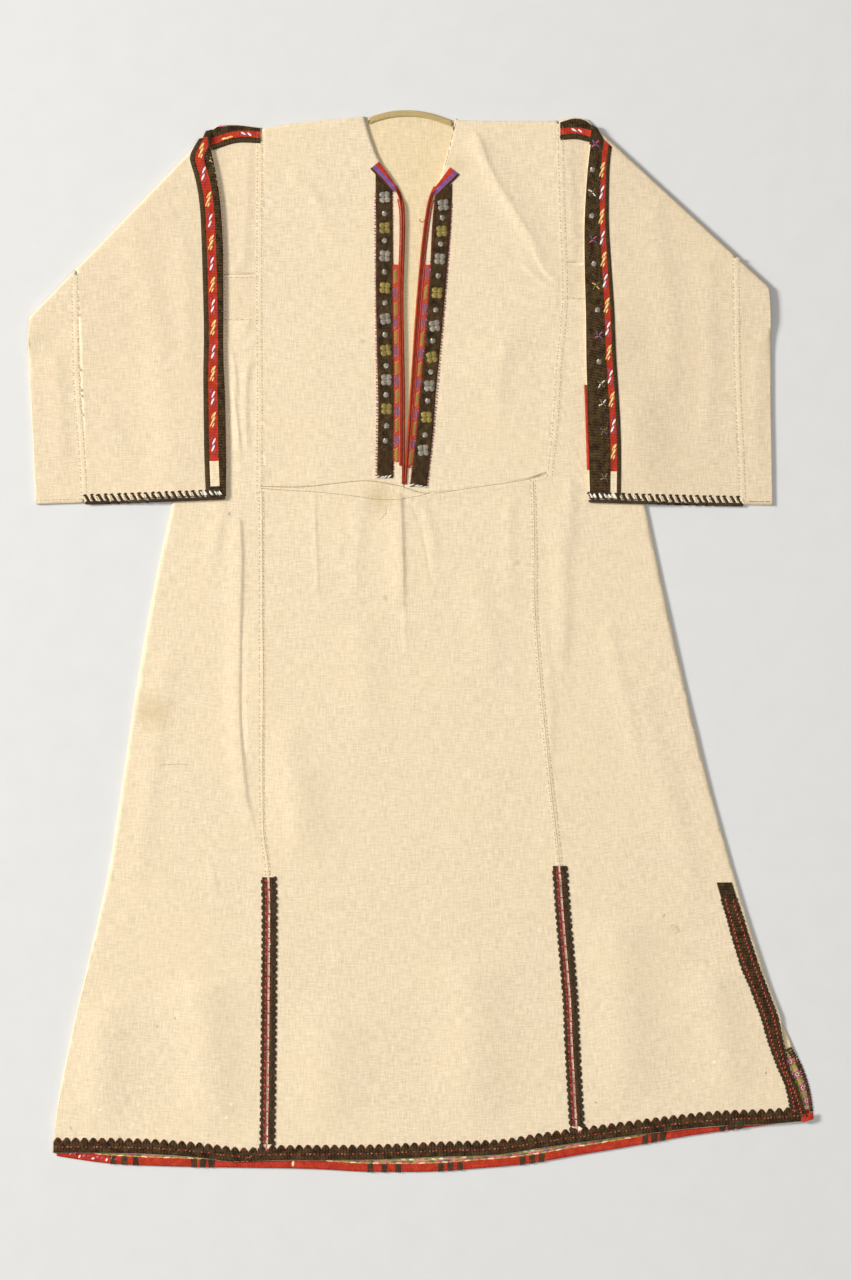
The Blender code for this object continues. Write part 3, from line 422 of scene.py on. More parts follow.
def dress(obj, material, slot, *nodes):
    obj.data.materials.clear()
    obj.data.materials.append(material)
    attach(obj, "root")
    if nodes:
        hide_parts(*nodes)
    return obj


def make_panel(node, kind, spacing, grain, material):
    """A cloth piece on its solid's form, with its creases."""
    obj = refined_copy(node + "_cloth", node, spacing, kind == "front")
    mesh = obj.data
    points, up = garment_points(mesh), normals_up(mesh)
    xy = points[:, :2]
    if kind == "front":
        top = (up > 0) & (points[:, 2] > FRONT_TOP - 0.02)
        points[top, 2] = front_height(xy[top])
    elif kind == "sleeve":
        tree, above = tree_over([obj]), Vector((0, 0, 1))
        open_above = np.array([
            u > 0.3 and tree.ray_cast(Vector((*p[:2], p[2] + 0.05)), above)[0] is None
            for p, u in zip(points, up)
        ])
        even_out(mesh, points, open_above & (up > 0.93), 30)
        points[open_above, 2] += sleeve_relief(xy[open_above])
    else:
        top = (up > 0) & (points[:, 2] > BACK_TOP)
        points[top, 2] += 0.7 * slack(xy[top]) - 0.2
    write_points(mesh, points)
    turn = math.radians(grain)
    lay_map(
        obj,
        xy[:, 0] * math.cos(turn) + xy[:, 1] * math.sin(turn),
        xy[:, 1] * math.cos(turn) - xy[:, 0] * math.sin(turn),
    )
    return dress(obj, material, "cotton", node)


def tree_over(objects):
    """The faces of some pieces, to find heights on."""
    points, faces, count = [], [], 0
    for obj in objects:
        own = garment_points(obj.data)
        points += [Vector(p) for p in own]
        faces += [tuple(count + i for i in f.vertices) for f in obj.data.polygons]
        count += len(own)
    return BVHTree.FromPolygons(points, faces)


def drop(tree, x, y, z=ABOVE_ALL):
    """Height of the first face under a place, or 0 where there is none."""
    hit = tree.ray_cast(Vector((x, y, z)), Vector((0, 0, -1)))[0]
    return 0.0 if hit is None else hit.z


def height_below(tree, x, y, z=ABOVE_ALL):
    """The middle height of five tries, so that a seam's narrow gap doesn't count."""
    tries = ((0, 0), (0.6, 0), (-0.6, 0), (0, 0.6), (0, -0.6))
    return sorted(drop(tree, x + dx, y + dy, z) for dx, dy in tries)[2]


def rim_distance(mesh, points, top):
    """How far each point of the upper face is from the piece's edge, seen from above."""
    rim = set()
    for edge in mesh.edges:
        a, b = edge.vertices
        if top[a] != top[b]:
            rim.add(a if top[a] else b)
    tree = KDTree(len(rim))
    for k, i in enumerate(sorted(rim)):
        tree.insert((points[i, 0], points[i, 1], 0), k)
    tree.balance()
    return np.array([tree.find((p[0], p[1], 0))[2] for p in points])


def make_trim(node, line, material, slot, spacing, laid, groove):
    """A braid or tape on its solid's form: softer at its edges and following the cloth below."""
    obj = refined_copy(node + "_trim", node, spacing)
    mesh = obj.data
    points, up = garment_points(mesh), normals_up(mesh)
    top = up > 0
    along, across = line.measure(points[:, :2])
    edge = rim_distance(mesh, points, top)
    crown = 0.5 + 0.5 * np.sqrt(1 - (1 - np.clip(edge / TAPE_ROUND, 0, 1)) ** 2)
    if groove:
        crown = np.where(np.abs(across) < groove, 0.25, crown)
    wear = 0.06 * np.sin(along / 9.1) + 0.05 * np.sin(along / 3.7 + across)
    if laid:
        ground = np.array([height_below(CLOTH, x, y, z + 2.2) for x, y, z in points])
        points[:, 2] = np.where(top, ground + (TAPE_THICK + wear) * crown, ground + 0.08)
    else:
        points[:, 2] += np.where(top & (up > 0.4), (crown - 1) * 0.6 + wear, 0)
    write_points(mesh, points)
    lay_map(obj, across, along)
    return dress(obj, material, slot, node)


def link_mesh(name, points, faces, places, outward=False):
    """A new object from points in millimetres on the laid garment."""
    mesh = bpy.data.meshes.new(name)
    mesh.from_pydata(((np.array(points) - (CENTRE_X, MIDDLE_Y, 0)) / 1000).tolist(), [], faces)
    if outward:
        shape = bmesh.new()
        shape.from_mesh(mesh)
        bmesh.ops.recalc_face_normals(shape, faces=shape.faces)
        shape.to_mesh(mesh)
        shape.free()
    obj = add_object(name, mesh)
    lay_map(obj, *np.array(places).T)
    return obj


def beside(line, across, end_across=None, start=0.0, end=None):
    """The line that runs beside another, across to its right, which may change along it."""
    end = line.length if end is None else end
    end_across = across if end_across is None else end_across
    length, change = end - start, end_across - across
    shares = np.linspace(0, 1, max(3, int(length / 9)))
    return Line(*[line.at(start + t * length, across + t * change)[:2] for t in shares])


def neighbours(ground, axis):
    """The grid moved a step either way along an axis, its rim repeated."""
    pad = np.pad(ground, [(1, 1) if k == axis else (0, 0) for k in (0, 1)], mode="edge")
    return (pad[:-2], pad[2:]) if axis == 0 else (pad[:, :-2], pad[:, 2:])


def settled(ground):
    """A grid of heights that lies over small gaps and steps."""
    for axis in (0, 1):
        ground = np.maximum(ground, np.maximum(*neighbours(ground, axis)))
    for axis in (0, 1) * 3:
        before, after = neighbours(ground, axis)
        ground = 0.5 * ground + 0.25 * (before + after)
    return ground


def lay_strip(name, first, second, height, edge, flat, waves):
    """A closed strip between two lines, over the cloth; edge is how high its sides stand above it.

    A larger flat gives steeper sides and a flatter back. A strip with edge below 0 is cloth: its
    sides sink into the piece below, and its map is the garment's.
    """
    is_cloth = edge < 0

    def sides_at(share):
        return [np.array(line.at(share * line.length)[:2]) for line in (first, second)]

    widest = max(np.hypot(*np.subtract(*sides_at(share))) for share in (0, 0.5, 1))
    length, columns = max(first.length, second.length), 2 * max(4, int(widest / CELL_WIDTH)) + 1
    rows, sides = max(4, int(length / CELL_LENGTH)), np.linspace(-1, 1, columns)
    middle, widths = np.empty((rows, columns, 3)), np.empty(rows)
    for row in range(rows):
        a, b = sides_at(row / (rows - 1))
        widths[row] = np.hypot(*(b - a))
        for k, side in enumerate(sides):
            x, y = a + (b - a) * (side + 1) / 2
            middle[row, k] = x, y, height_below(CLOTH, x, y)
        ground = middle[row, :, 2]
        found = np.flatnonzero(ground > (0.05 if is_cloth else ground.max() - GAP_DEPTH))
        middle[row, :, 2] = np.interp(np.arange(columns), found, ground[found]) if len(found) else 0.6
    middle[..., 2] = settled(middle[..., 2])
    points, faces, places = [], [], []
    ring = columns + 2
    for row in range(rows):
        along = length * row / (rows - 1)
        swell = height * (1 + waves * math.sin(1.31 * along + math.sin(along / 11)))
        for k, side in enumerate(sides):
            x, y, z = middle[row, k]
            points.append((x, y, z + edge + (swell - edge) * (1 - abs(side) ** flat)))
            places.append((x, y) if is_cloth else (widths[row] * (side + 1) / 2, along))
        for k in (-1, 0):
            x, y, z = 0.94 * middle[row, k] + 0.06 * middle[row, columns // 2]
            points.append((x, y, z + edge - 0.2))
            places.append((x, y) if is_cloth else (-widths[row] * k, along))
    for row in range(rows - 1):
        for k in range(ring):
            a, b = ring * row + k, ring * row + (k + 1) % ring
            faces.append((a, b, b + ring, a + ring))
    faces.append(tuple(range(ring)))
    faces.append(tuple(ring * (rows - 1) + k for k in range(ring)))
    return link_mesh(name, points, faces, places, outward=True)


# ---------------------------------------------------------------- shader groups and materials


def node(tree, kind, inputs=None, **settings):
    made = tree.nodes.new(kind)
    for key, value in settings.items():
        setattr(made, key, value)
    for key, value in (inputs or {}).items():
        if isinstance(value, bpy.types.NodeSocket):
            tree.links.new(value, made.inputs[key])
        else:
            made.inputs[key].default_value = value
    return made


def calc(tree, operation, a, b=0.0, c=0.0, clamp=False):
    made = node(tree, "ShaderNodeMath", {0: a, 1: b, 2: c}, operation=operation, use_clamp=clamp)
    return made.outputs[0]


def stretched(tree, place, across, along):
    """The place scaled so that one unit is the given size in millimetres each way."""
    return node(
        tree, "ShaderNodeVectorMath", {0: place, 1: (1 / across, 1 / along, 1)}, operation="MULTIPLY"
    ).outputs[0]


def noise(tree, vector, scale, detail, roughness=0.55):
    inputs = {"Vector": vector, "Scale": scale, "Detail": detail, "Roughness": roughness}
    return node(tree, "ShaderNodeTexNoise", inputs).outputs["Fac"]


def spots(tree, place, across, along, detail=2.0, roughness=0.55):
    """Noise with spots of a size in millimetres."""
    return noise(tree, stretched(tree, place, across, along), 1.0, detail, roughness)


def ridges(tree, value, turns=math.pi):
    """Rounded ridges, one for each whole value, as the size of its sine."""
    return calc(tree, "ABSOLUTE", calc(tree, "SINE", calc(tree, "MULTIPLY", value, turns)))


def mix_colour(tree, factor, first, second):
    """Two colours mixed; each is a socket or three numbers."""
    ends = [end if isinstance(end, bpy.types.NodeSocket) else (*end, 1) for end in (first, second)]
    return node(tree, "ShaderNodeMix", {0: factor, 6: ends[0], 7: ends[1]}, data_type="RGBA").outputs[2]


def weighted(tree, *parts):
    """The sum of some values, each given with its weight."""
    total = calc(tree, "MULTIPLY", *parts[0])
    for value, weight in parts[1:]:
        total = calc(tree, "MULTIPLY_ADD", value, weight, total)
    return total


def new_group(name, inputs, outputs):
    tree = bpy.data.node_groups.new(name, "ShaderNodeTree")
    for direction, sockets in (("INPUT", inputs), ("OUTPUT", outputs)):
        for label, socket_type, *default in sockets:
            socket_type = "NodeSocket" + socket_type
            made = tree.interface.new_socket(label, in_out=direction, socket_type=socket_type)
            if default:
                made.default_value = default[0]
    return tree, tree.nodes.new("NodeGroupInput").outputs, tree.nodes.new("NodeGroupOutput").inputs


def hand_weave():
    """Plain weave of uneven handspun thread: its tone, thick threads and height."""
    tree, given, wanted = new_group(
        "hand_weave",
        [("Place", "Vector"), ("Pitch", "Float", 1.1)],
        [("Tone", "Float"), ("Height", "Float")],
    )
    place = given["Place"]
    wobble = spots(tree, place, 14, 14)
    parts = node(tree, "ShaderNodeSeparateXYZ", {0: place}).outputs
    across = calc(tree, "DIVIDE", calc(tree, "MULTIPLY_ADD", wobble, 1.6, parts[0]), given["Pitch"])
    along = calc(tree, "DIVIDE", calc(tree, "MULTIPLY_ADD", wobble, -1.6, parts[1]), given["Pitch"])
    warp = ridges(tree, across)
    weft = ridges(tree, along)
    cells = calc(tree, "ADD", calc(tree, "FLOOR", across), calc(tree, "FLOOR", along))
    over = calc(tree, "PINGPONG", cells, 1.0)
    threads = node(tree, "ShaderNodeMix", {0: over, 2: warp, 3: weft}).outputs[0]
    warp_slub = spots(tree, place, 1.6, 15, 3.0, 0.6)
    weft_slub = spots(tree, place, 12, 1.6, 3.0, 0.6)
    slub = calc(tree, "ADD", warp_slub, weft_slub)
    fibre = spots(tree, place, 0.5, 0.5)
    tone = weighted(tree, (threads, 0.13), (slub, 0.42), (fibre, 0.1))
    tree.links.new(tone, wanted["Tone"])
    rumple = spots(tree, place, 19, 24, 3.0, 0.6)
    height = weighted(tree, (threads, 0.5), (slub, 0.55), (rumple, 0.9), (fibre, 0.15))
    tree.links.new(height, wanted["Height"])
    return tree


def soiling():
    """Age of the cloth: broad clouds of tone and sparse brown flecks."""
    tree, given, wanted = new_group(
        "soiling", [("Place", "Vector")], [("Clouds", "Float"), ("Flecks", "Float")]
    )
    place = given["Place"]
    broad = spots(tree, place, 120, 150, 3.0)
    patchy = spots(tree, place, 13, 15, 4.0, 0.7)
    tree.links.new(weighted(tree, (patchy, 0.5), (broad, 0.5)), wanted["Clouds"])
    cells = node(tree, "ShaderNodeTexVoronoi", {"Vector": stretched(tree, place, 30, 30), "Scale": 1.0})
    dot = calc(tree, "LESS_THAN", cells.outputs["Distance"], 0.022)
    chance = node(tree, "ShaderNodeSeparateColor", {0: cells.outputs["Color"]}).outputs[0]
    rare = calc(tree, "GREATER_THAN", chance, 0.62)
    tree.links.new(calc(tree, "MULTIPLY", dot, rare), wanted["Flecks"])
    return tree


def stain_mark():
    """One stain with a wandering edge."""
    tree, given, wanted = new_group(
        "stain_mark",
        [("Place", "Vector"), ("Centre", "Vector"), ("Reach", "Float", 10.0)],
        [("Mask", "Float")],
    )
    place, reach = given["Place"], given["Reach"]
    off = node(tree, "ShaderNodeVectorMath", {0: place, 1: given["Centre"]}, operation="SUBTRACT")
    far = node(tree, "ShaderNodeVectorMath", {0: off.outputs[0]}, operation="LENGTH").outputs["Value"]
    edge = calc(tree, "MULTIPLY", spots(tree, place, 9, 9, 3.0), reach)
    share = calc(tree, "DIVIDE", calc(tree, "ADD", far, edge), calc(tree, "MULTIPLY", reach, 1.5))
    tree.links.new(calc(tree, "SUBTRACT", 1.0, share, clamp=True), wanted["Mask"])
    return tree


def spun_wool():
    """Wool tape: ribs across it, fibres and a lighter nap; each rib's crest is painted a little lighter, a painted
    highlight.
    """
    tree, given, wanted = new_group(
        "spun_wool",
        [("Place", "Vector"), ("Rib", "Float", 3.0), ("Twill", "Float", 1.0)],
        [("Tone", "Float"), ("Height", "Float")],
    )
    place = given["Place"]
    parts = node(tree, "ShaderNodeSeparateXYZ", {0: place}).outputs
    wander = spots(tree, place, 6, 6)
    slant = calc(tree, "MULTIPLY_ADD", parts[0], given["Twill"], parts[1])
    rows = calc(tree, "DIVIDE", calc(tree, "ADD", slant, wander), given["Rib"])
    rib = ridges(tree, rows)
    ends = ridges(tree, parts[0], 2.6)
    fibre = spots(tree, place, 1.9, 1.5, 4.0, 0.8)
    worn = spots(tree, place, 7, 9, 3.0)
    # painted highlight: the rib term makes each rib's crest lighter in colour, where its bump rises
    tone = weighted(tree, (fibre, 0.66), (rib, 0.08), (worn, 0.36))
    tree.links.new(tone, wanted["Tone"])
    height = weighted(tree, (ends, 0.12), (rib, 0.2), (fibre, 0.6))
    tree.links.new(height, wanted["Height"])
    return tree


WEAVE, SOIL, STAIN, WOOL = hand_weave(), soiling(), stain_mark(), spun_wool()

Stain = namedtuple("Stain", "x y reach strength")
STAINS = [
    Stain(-308, 530, 28, 0.7),
    Stain(-46, 776, 24, 0.8),
    Stain(-66, 956, 4, 0.9),
    Stain(-40, 660, 4, 0.8),
    Stain(112, 700, 4, 0.6),
    Stain(294, 280, 7, 0.5),
    Stain(12, 1010, 14, 0.45),
    Stain(45, 1160, 16, 0.4),
]
FLECK_BROWN, STAIN_BROWN = (0.34, 0.22, 0.10), (0.50, 0.36, 0.16)


def start_material(name, roughness, sheen, gloss=0.2):
    made = bpy.data.materials.new(name)
    made.use_nodes = True
    tree = made.node_tree
    shader = tree.nodes["Principled BSDF"]
    shader.inputs["Roughness"].default_value = roughness
    shader.inputs["Specular IOR Level"].default_value = gloss
    shader.inputs["Sheen Weight"].default_value = sheen
    shader.inputs["Sheen Roughness"].default_value = 0.5
    place = node(tree, "ShaderNodeUVMap", uv_map="place_mm").outputs[0]
    return made, tree, shader, place


def placed_group(tree, group, inputs):
    return node(tree, "ShaderNodeGroup", inputs, node_tree=group).outputs


def garment_place(tree):
    """Object coordinates in millimetres on the laid garment."""
    own = node(tree, "ShaderNodeTexCoord").outputs["Object"]
    scaled = node(tree, "ShaderNodeVectorMath", {0: own, 1: (1000, 1000, 0)}, operation="MULTIPLY")
    return node(
        tree, "ShaderNodeVectorMath", {0: scaled.outputs[0], 1: (CENTRE_X, MIDDLE_Y, 0)}, operation="ADD"
    ).outputs[0]


def finish_surface(tree, shader, colour, height, distance, strength=0.7):
    tree.links.new(colour, shader.inputs["Base Color"])
    bump = node(tree, "ShaderNodeBump", {"Height": height, "Distance": distance, "Strength": strength})
    tree.links.new(bump.outputs[0], shader.inputs["Normal"])


def cotton(name, light, dark, pitch=1.1, stained=True):
    """Cream handwoven cotton, yellowed and marked by wear."""
    made, tree, shader, place = start_material(name, 0.9, 0.12)
    weave = placed_group(tree, WEAVE, {"Place": place, "Pitch": pitch})
    spot = garment_place(tree)
    soil = placed_group(tree, SOIL, {"Place": spot})
    tone = calc(tree, "MULTIPLY_ADD", weave["Tone"], 4.0, -1.71, clamp=True)
    colour = mix_colour(tree, tone, dark, light)
    aged = [c * k for c, k in zip(light, (0.92, 0.87, 0.77))]
    cloudy = calc(tree, "MULTIPLY_ADD", soil["Clouds"], 3.4, -1.4, clamp=True)
    colour = mix_colour(tree, calc(tree, "MULTIPLY", cloudy, 0.45), colour, aged)
    colour = mix_colour(tree, calc(tree, "MULTIPLY", soil["Flecks"], 0.55), colour, FLECK_BROWN)
    for stain in STAINS if stained else []:
        inputs = {"Place": spot, "Centre": (stain.x, stain.y, 0), "Reach": stain.reach}
        strength = calc(tree, "MULTIPLY", placed_group(tree, STAIN, inputs)["Mask"], stain.strength)
        colour = mix_colour(tree, strength, colour, STAIN_BROWN)
    roughness = calc(tree, "MULTIPLY_ADD", weave["Tone"], -0.12, 0.96)
    tree.links.new(roughness, shader.inputs["Roughness"])
    finish_surface(tree, shader, colour, weave["Height"], 0.0005, 0.85)
    return made


def wool(name, dark, light, rib, twill=0.0, stripes=(), roughness=0.88):
    """Wool tape; stripes are (from, to across, from, to along, dark, light), in mm."""
    made, tree, shader, place = start_material(name, roughness, 0.04, 0.12)
    yarn = placed_group(tree, WOOL, {"Place": place, "Rib": rib, "Twill": twill})
    tone = calc(tree, "MULTIPLY_ADD", yarn["Tone"], 4.6, -2.2, clamp=True)
    colour = mix_colour(tree, tone, dark, light)
    parts = node(tree, "ShaderNodeSeparateXYZ", {0: place}).outputs
    for start, end, low, high, stripe_dark, stripe_light in stripes:
        in_width = calc(tree, "COMPARE", parts[0], (start + end) / 2, (end - start) / 2)
        in_length = calc(tree, "COMPARE", parts[1], (low + high) / 2, (high - low) / 2)
        stripe = mix_colour(tree, tone, stripe_dark, stripe_light)
        colour = mix_colour(tree, calc(tree, "MULTIPLY", in_width, in_length), colour, stripe)
    finish_surface(tree, shader, colour, yarn["Height"], 0.0006)
    return made


def thread(name, dark, light, roughness, metallic):
    """Sewing or embroidery thread with its twist."""
    made, tree, shader, _ = start_material(name, roughness, 0.1)
    shader.inputs["Metallic"].default_value = metallic
    own = node(tree, "ShaderNodeTexCoord").outputs["Object"]
    twist, worn = noise(tree, own, 1400.0, 2.0), noise(tree, own, 60.0, 2.0)
    tone = calc(tree, "MULTIPLY_ADD", worn, 0.8, -1.1)
    tone = calc(tree, "MULTIPLY_ADD", twist, 2.4, tone, clamp=True)
    finish_surface(tree, shader, mix_colour(tree, tone, dark, light), twist, 0.0002)
    return made


BLACK, BROWN = (0.008, 0.004, 0.0015), (0.103, 0.060, 0.021)
RED_DARK, RED = (0.28, 0.018, 0.008), (0.60, 0.055, 0.024)
CREAM, CREAM_DARK = (0.93, 0.787, 0.572), (0.67, 0.535, 0.348)
PURPLE_DARK, PURPLE = (0.08, 0.05, 0.18), (0.26, 0.16, 0.36)
GREEN_DARK, GREEN = (0.24, 0.19, 0.03), (0.56, 0.50, 0.16)

front_cotton = cotton("front_cotton", CREAM, CREAM_DARK)
sleeve_cotton = cotton("sleeve_cotton", (0.88, 0.737, 0.535), (0.63, 0.50, 0.325), 1.2)
back_cotton = cotton("back_cotton", (0.91, 0.755, 0.50), (0.65, 0.505, 0.29), 1.1)
neck_cotton = cotton("neck_cotton", (0.55, 0.42, 0.19), (0.42, 0.31, 0.13), 1.0, False)
black_wool = wool("black_wool", BLACK, BROWN, 2.2, 0.6)
edge_braid = wool("edge_braid", BLACK, BROWN, 3.4)
left_band_wool = wool(
    "left_band_wool", BLACK, BROWN, 3.2,
    stripes=[(5.9, 16.2, -20, 375, RED_DARK, RED), (5.9, 16.2, 375, 404, CREAM_DARK, CREAM)],
)
right_band_wool = wool(
    "right_band_wool", BLACK, BROWN, 3.2,
    stripes=[(4.8, 11.9, -20, 392, RED_DARK, RED), (4.8, 11.9, 392, 424, CREAM_DARK, CREAM)],
)
shoulder_braid = wool("shoulder_braid", BLACK, BROWN, 3.2, stripes=[(6.4, 13.6, -20, 90, RED_DARK, RED)])
seam_braid = wool(
    "seam_braid", BLACK, BROWN, 3.0,
    stripes=[
        (-4.4, -1.7, -50, 900, (0.09, 0.016, 0.012), (0.30, 0.06, 0.05)),
        (-1.7, 0.7, -50, 900, (0.66, 0.42, 0.30), (0.90, 0.74, 0.60)),
    ],
)
red_wool = wool("red_wool", RED_DARK, RED, 1.6, 1.0, roughness=0.8)
red_binding = wool("red_binding", RED_DARK, RED, 2.0, roughness=0.8)
strip_braid = wool("strip_braid", (0.34, 0.04, 0.02), (0.58, 0.09, 0.04), 1.8)
piping_wool = wool("piping_wool", (0.22, 0.02, 0.006), (0.50, 0.075, 0.022), 1.6, 1.0, roughness=0.8)
tab_wool = wool(
    "tab_wool", RED_DARK, RED, 1.8,
    stripes=[(-1, 2.4, -20, 80, BLACK, BROWN), (3.0, 7.2, -20, 80, PURPLE_DARK, (0.30, 0.17, 0.40))],
)
green_facing = wool("green_facing", GREEN_DARK, GREEN, 1.6, 0.5)

# ---------------------------------------------------------------- cloth

Panel = namedtuple("Panel", "node kind spacing grain material")
PANELS = [
    Panel("back_centre", "back", 9.0, 0.0, back_cotton),
    Panel("back_gore_left", "back", 12.0, -6.0, back_cotton),
    Panel("back_gore_right", "back", 12.0, 6.0, back_cotton),
    Panel("neck_hem", "back", 3.0, 90.0, neck_cotton),
    Panel("bodice_left", "front", 5.0, 0.0, front_cotton),
    Panel("bodice_right", "front", 5.0, 0.5, front_cotton),
    Panel("skirt_front", "front", 5.0, 0.0, front_cotton),
    Panel("gore_left", "front", 5.5, -5.0, front_cotton),
    Panel("gore_right", "front", 5.5, 9.0, front_cotton),
    Panel("sleeve_left", "sleeve", 6.0, 0.5, sleeve_cotton),
    Panel("sleeve_strip_left", "sleeve", 6.0, -1.5, sleeve_cotton),
    Panel("sleeve_right", "sleeve", 6.0, -0.5, sleeve_cotton),
    Panel("sleeve_strip_right", "sleeve", 6.0, 1.5, sleeve_cotton),
]
cloth = {panel.node: make_panel(*panel) for panel in PANELS}
CLOTH = tree_over(cloth.values())

# ---------------------------------------------------------------- braids and tapes

Trim = namedtuple(
    "Trim", "node line material slot spacing laid groove", defaults=("black_wool", 2.4, True, 0.0)
)
TRIMS = [
    Trim("placket_left", LEFT_PLACKET, black_wool),
    Trim("placket_right", RIGHT_PLACKET, black_wool),
    Trim("seam_braid_left", LEFT_SEAM, seam_braid, groove=1.3),
    Trim("seam_braid_right", RIGHT_SKIRT_SEAM, seam_braid, groove=1.3),
    Trim("hem_braid_left", FRONT_HEM, edge_braid, spacing=2.0),
    Trim("hem_braid_centre", FRONT_HEM, edge_braid, spacing=2.0),
    Trim("hem_braid_right", FRONT_HEM, edge_braid, spacing=2.0),
    Trim("hem_binding", BACK_HEM, red_binding, "red_wool", 3.0, laid=False),
    Trim("hem_facing", BACK_HEM, green_facing, "pattern_braid", 3.0, laid=False),
    Trim("side_facing", SIDE_FACING, green_facing, "pattern_braid", 2.0, laid=False),
]
trims = {trim.node: make_trim(*trim) for trim in TRIMS}

# Strips between two lines, the last six small pieces that have no solid of their own
Strip = namedtuple("Strip", "name first second height edge flat material slot", defaults=("black_wool",))
STRIPS = [
    Strip("sleeve_band_left", LEFT_BAND_EDGE, LEFT_BAND_FOLD, 1.15, 0.45, 12, left_band_wool),
    Strip("sleeve_band_right", RIGHT_BAND_EDGE, RIGHT_BAND_FOLD, 1.15, 0.45, 12, right_band_wool),
    Strip(
        "shoulder_band_left", LEFT_SHOULDER_EDGE,
        Line((-183.5, 1200.5), (-212, 1203.7), (-233, 1202), (-243, 1193.5)), 1.15, 0.45, 10, shoulder_braid,
    ),
    Strip(
        "shoulder_band_right", RIGHT_SHOULDER_EDGE,
        Line((161, 1207), (177, 1211.5), (190, 1209.3), (198, 1202)), 1.15, 0.45, 10, shoulder_braid,
    ),
    Strip("side_braid_right", SIDE_BRAID_LEFT, SIDE_BRAID_RIGHT, 1.2, 0.5, 8, edge_braid),
    Strip(
        "red_strip_left", beside(LEFT_PLACKET, 9.0, None, 19, 246), beside(SLIT_LEFT, -4.6, None, 26, 253),
        1.0, 0.6, 8, strip_braid, "pattern_braid",
    ),
    Strip(
        "red_strip_right", beside(RIGHT_PLACKET, -9.0, None, 24, 256), beside(SLIT_RIGHT, 4.6, None, 22, 254),
        1.0, 0.6, 8, strip_braid, "pattern_braid",
    ),
    Strip(
        "piping_left", beside(SLIT_LEFT, -2.2, -1.8, 1, 346), beside(SLIT_LEFT, 0.8, 1.0, 1, 346),
        1.9, 0.4, 2, piping_wool, "red_wool",
    ),
    Strip(
        "piping_right", beside(SLIT_RIGHT, 2.2, 1.8, 1, 346), beside(SLIT_RIGHT, -0.8, -1.0, 1, 346),
        1.9, 0.4, 2, piping_wool, "red_wool",
    ),
    Strip(
        "neck_tab_left", beside(LEFT_TAB, -5.0, -8.2), beside(LEFT_TAB, 3.2, 5.0),
        1.25, 0.6, 4, tab_wool, "pattern_braid",
    ),
    Strip(
        "neck_tab_right", beside(RIGHT_TAB, 5.6, 9.2), beside(RIGHT_TAB, -3.2, -5.0),
        1.25, 0.6, 4, tab_wool, "pattern_braid",
    ),
    Strip(
        "sleeve_corner_left", Line((-252, 1183), (-246.5, 1197)), Line((-240.5, 1176), (-238, 1199)),
        1.0, 0.3, 8, black_wool,
    ),
    Strip(
        "sleeve_corner_right", Line((213, 1184), (204, 1200)), Line((194.5, 1181), (197.5, 1204)),
        1.0, 0.3, 8, black_wool,
    ),
    Strip(
        "inner_cord_left", beside(SLIT_LEFT, -4.9, -3.6, 22, 344), beside(SLIT_LEFT, -2.2, -1.8, 22, 344),
        1.8, 0.4, 2, piping_wool, "red_wool",
    ),
    Strip(
        "inner_cord_right", beside(SLIT_RIGHT, 4.9, 3.6, 20, 344), beside(SLIT_RIGHT, 2.2, 1.8, 20, 344),
        1.8, 0.4, 2, piping_wool, "red_wool",
    ),
    Strip(
        "band_red_edge", Line((188.6, 905), (189.9, 870), (191.8, 807)), Line((191.4, 905), (193.0, 870), (195.2, 807)),
        1.5, 0.5, 3, red_wool, "red_wool",
    ),
    Strip(
        "hem_corner", Line((438, 66), (438.5, 57)), Line((452, 69), (452.5, 61)), 1.3, 0.5, 4, red_binding, "red_wool"
    ),
]
for strip in STRIPS:
    replaced = [strip.name] if strip.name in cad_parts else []
    made = lay_strip(strip.name + ("_trim" if replaced else ""), *strip[1:6], BRAID_WAVES if replaced else 0.0)
    trims[strip.name] = dress(made, strip.material, strip.slot, *replaced)

# Felled seams, raised a little over the cloth
Seam = namedtuple("Seam", "name line half height across start end")
SEAMS = [
    Seam("left_bodice_seam", LEFT_SEAM, 5.2, 0.22, -2.4, 770, 1184),
    Seam("left_skirt_seam", LEFT_SEAM, 4.0, 0.24, 0.0, 330, 770),
    Seam("right_skirt_seam", RIGHT_SKIRT_SEAM, 4.0, 0.24, 0.6, 321, 768),
    Seam("right_bodice_seam", RIGHT_BODICE_SEAM, 5.2, 0.22, 2.2, 0, 404),
    Seam("waist_seam", WAIST, 3.8, 0.34, 2.4, 1, 333),
    Seam("left_strip_seam", LEFT_STRIP_SEAM, 4.4, 0.24, 0.0, 0, 258),
    Seam("right_strip_seam", RIGHT_STRIP_SEAM, 4.4, 0.24, 0.0, 0, 280),
    Seam("left_gusset_top", LEFT_GUSSET_TOP, 2.0, 0.25, 0.0, 0, 39),
    Seam("left_gusset_foot", LEFT_GUSSET_FOOT, 2.0, 0.25, 0.0, 0, 39),
    Seam("right_gusset_top", RIGHT_GUSSET_TOP, 1.8, 0.12, 0.0, 0, 24),
    Seam("right_gusset_foot", RIGHT_GUSSET_FOOT, 2.0, 0.25, 0.0, 0, 25),
]
seams = {}
for seam in SEAMS:
    sides = [
        beside(seam.line, seam.across + offset, None, seam.start, seam.end) for offset in (-seam.half, seam.half)
    ]
    seams[seam.name] = dress(lay_strip(seam.name, *sides, seam.height, -0.12, 2, SEAM_WAVES), front_cotton, "cotton")

# ---------------------------------------------------------------- threads

Stitch = namedtuple("Stitch", "x y heading length width rise")
sewn = {}


def sew(colour, x, y, heading, length, width=0.9, rise=0.5):
    sewn.setdefault(colour, []).append(Stitch(x, y, heading, length, width, rise))


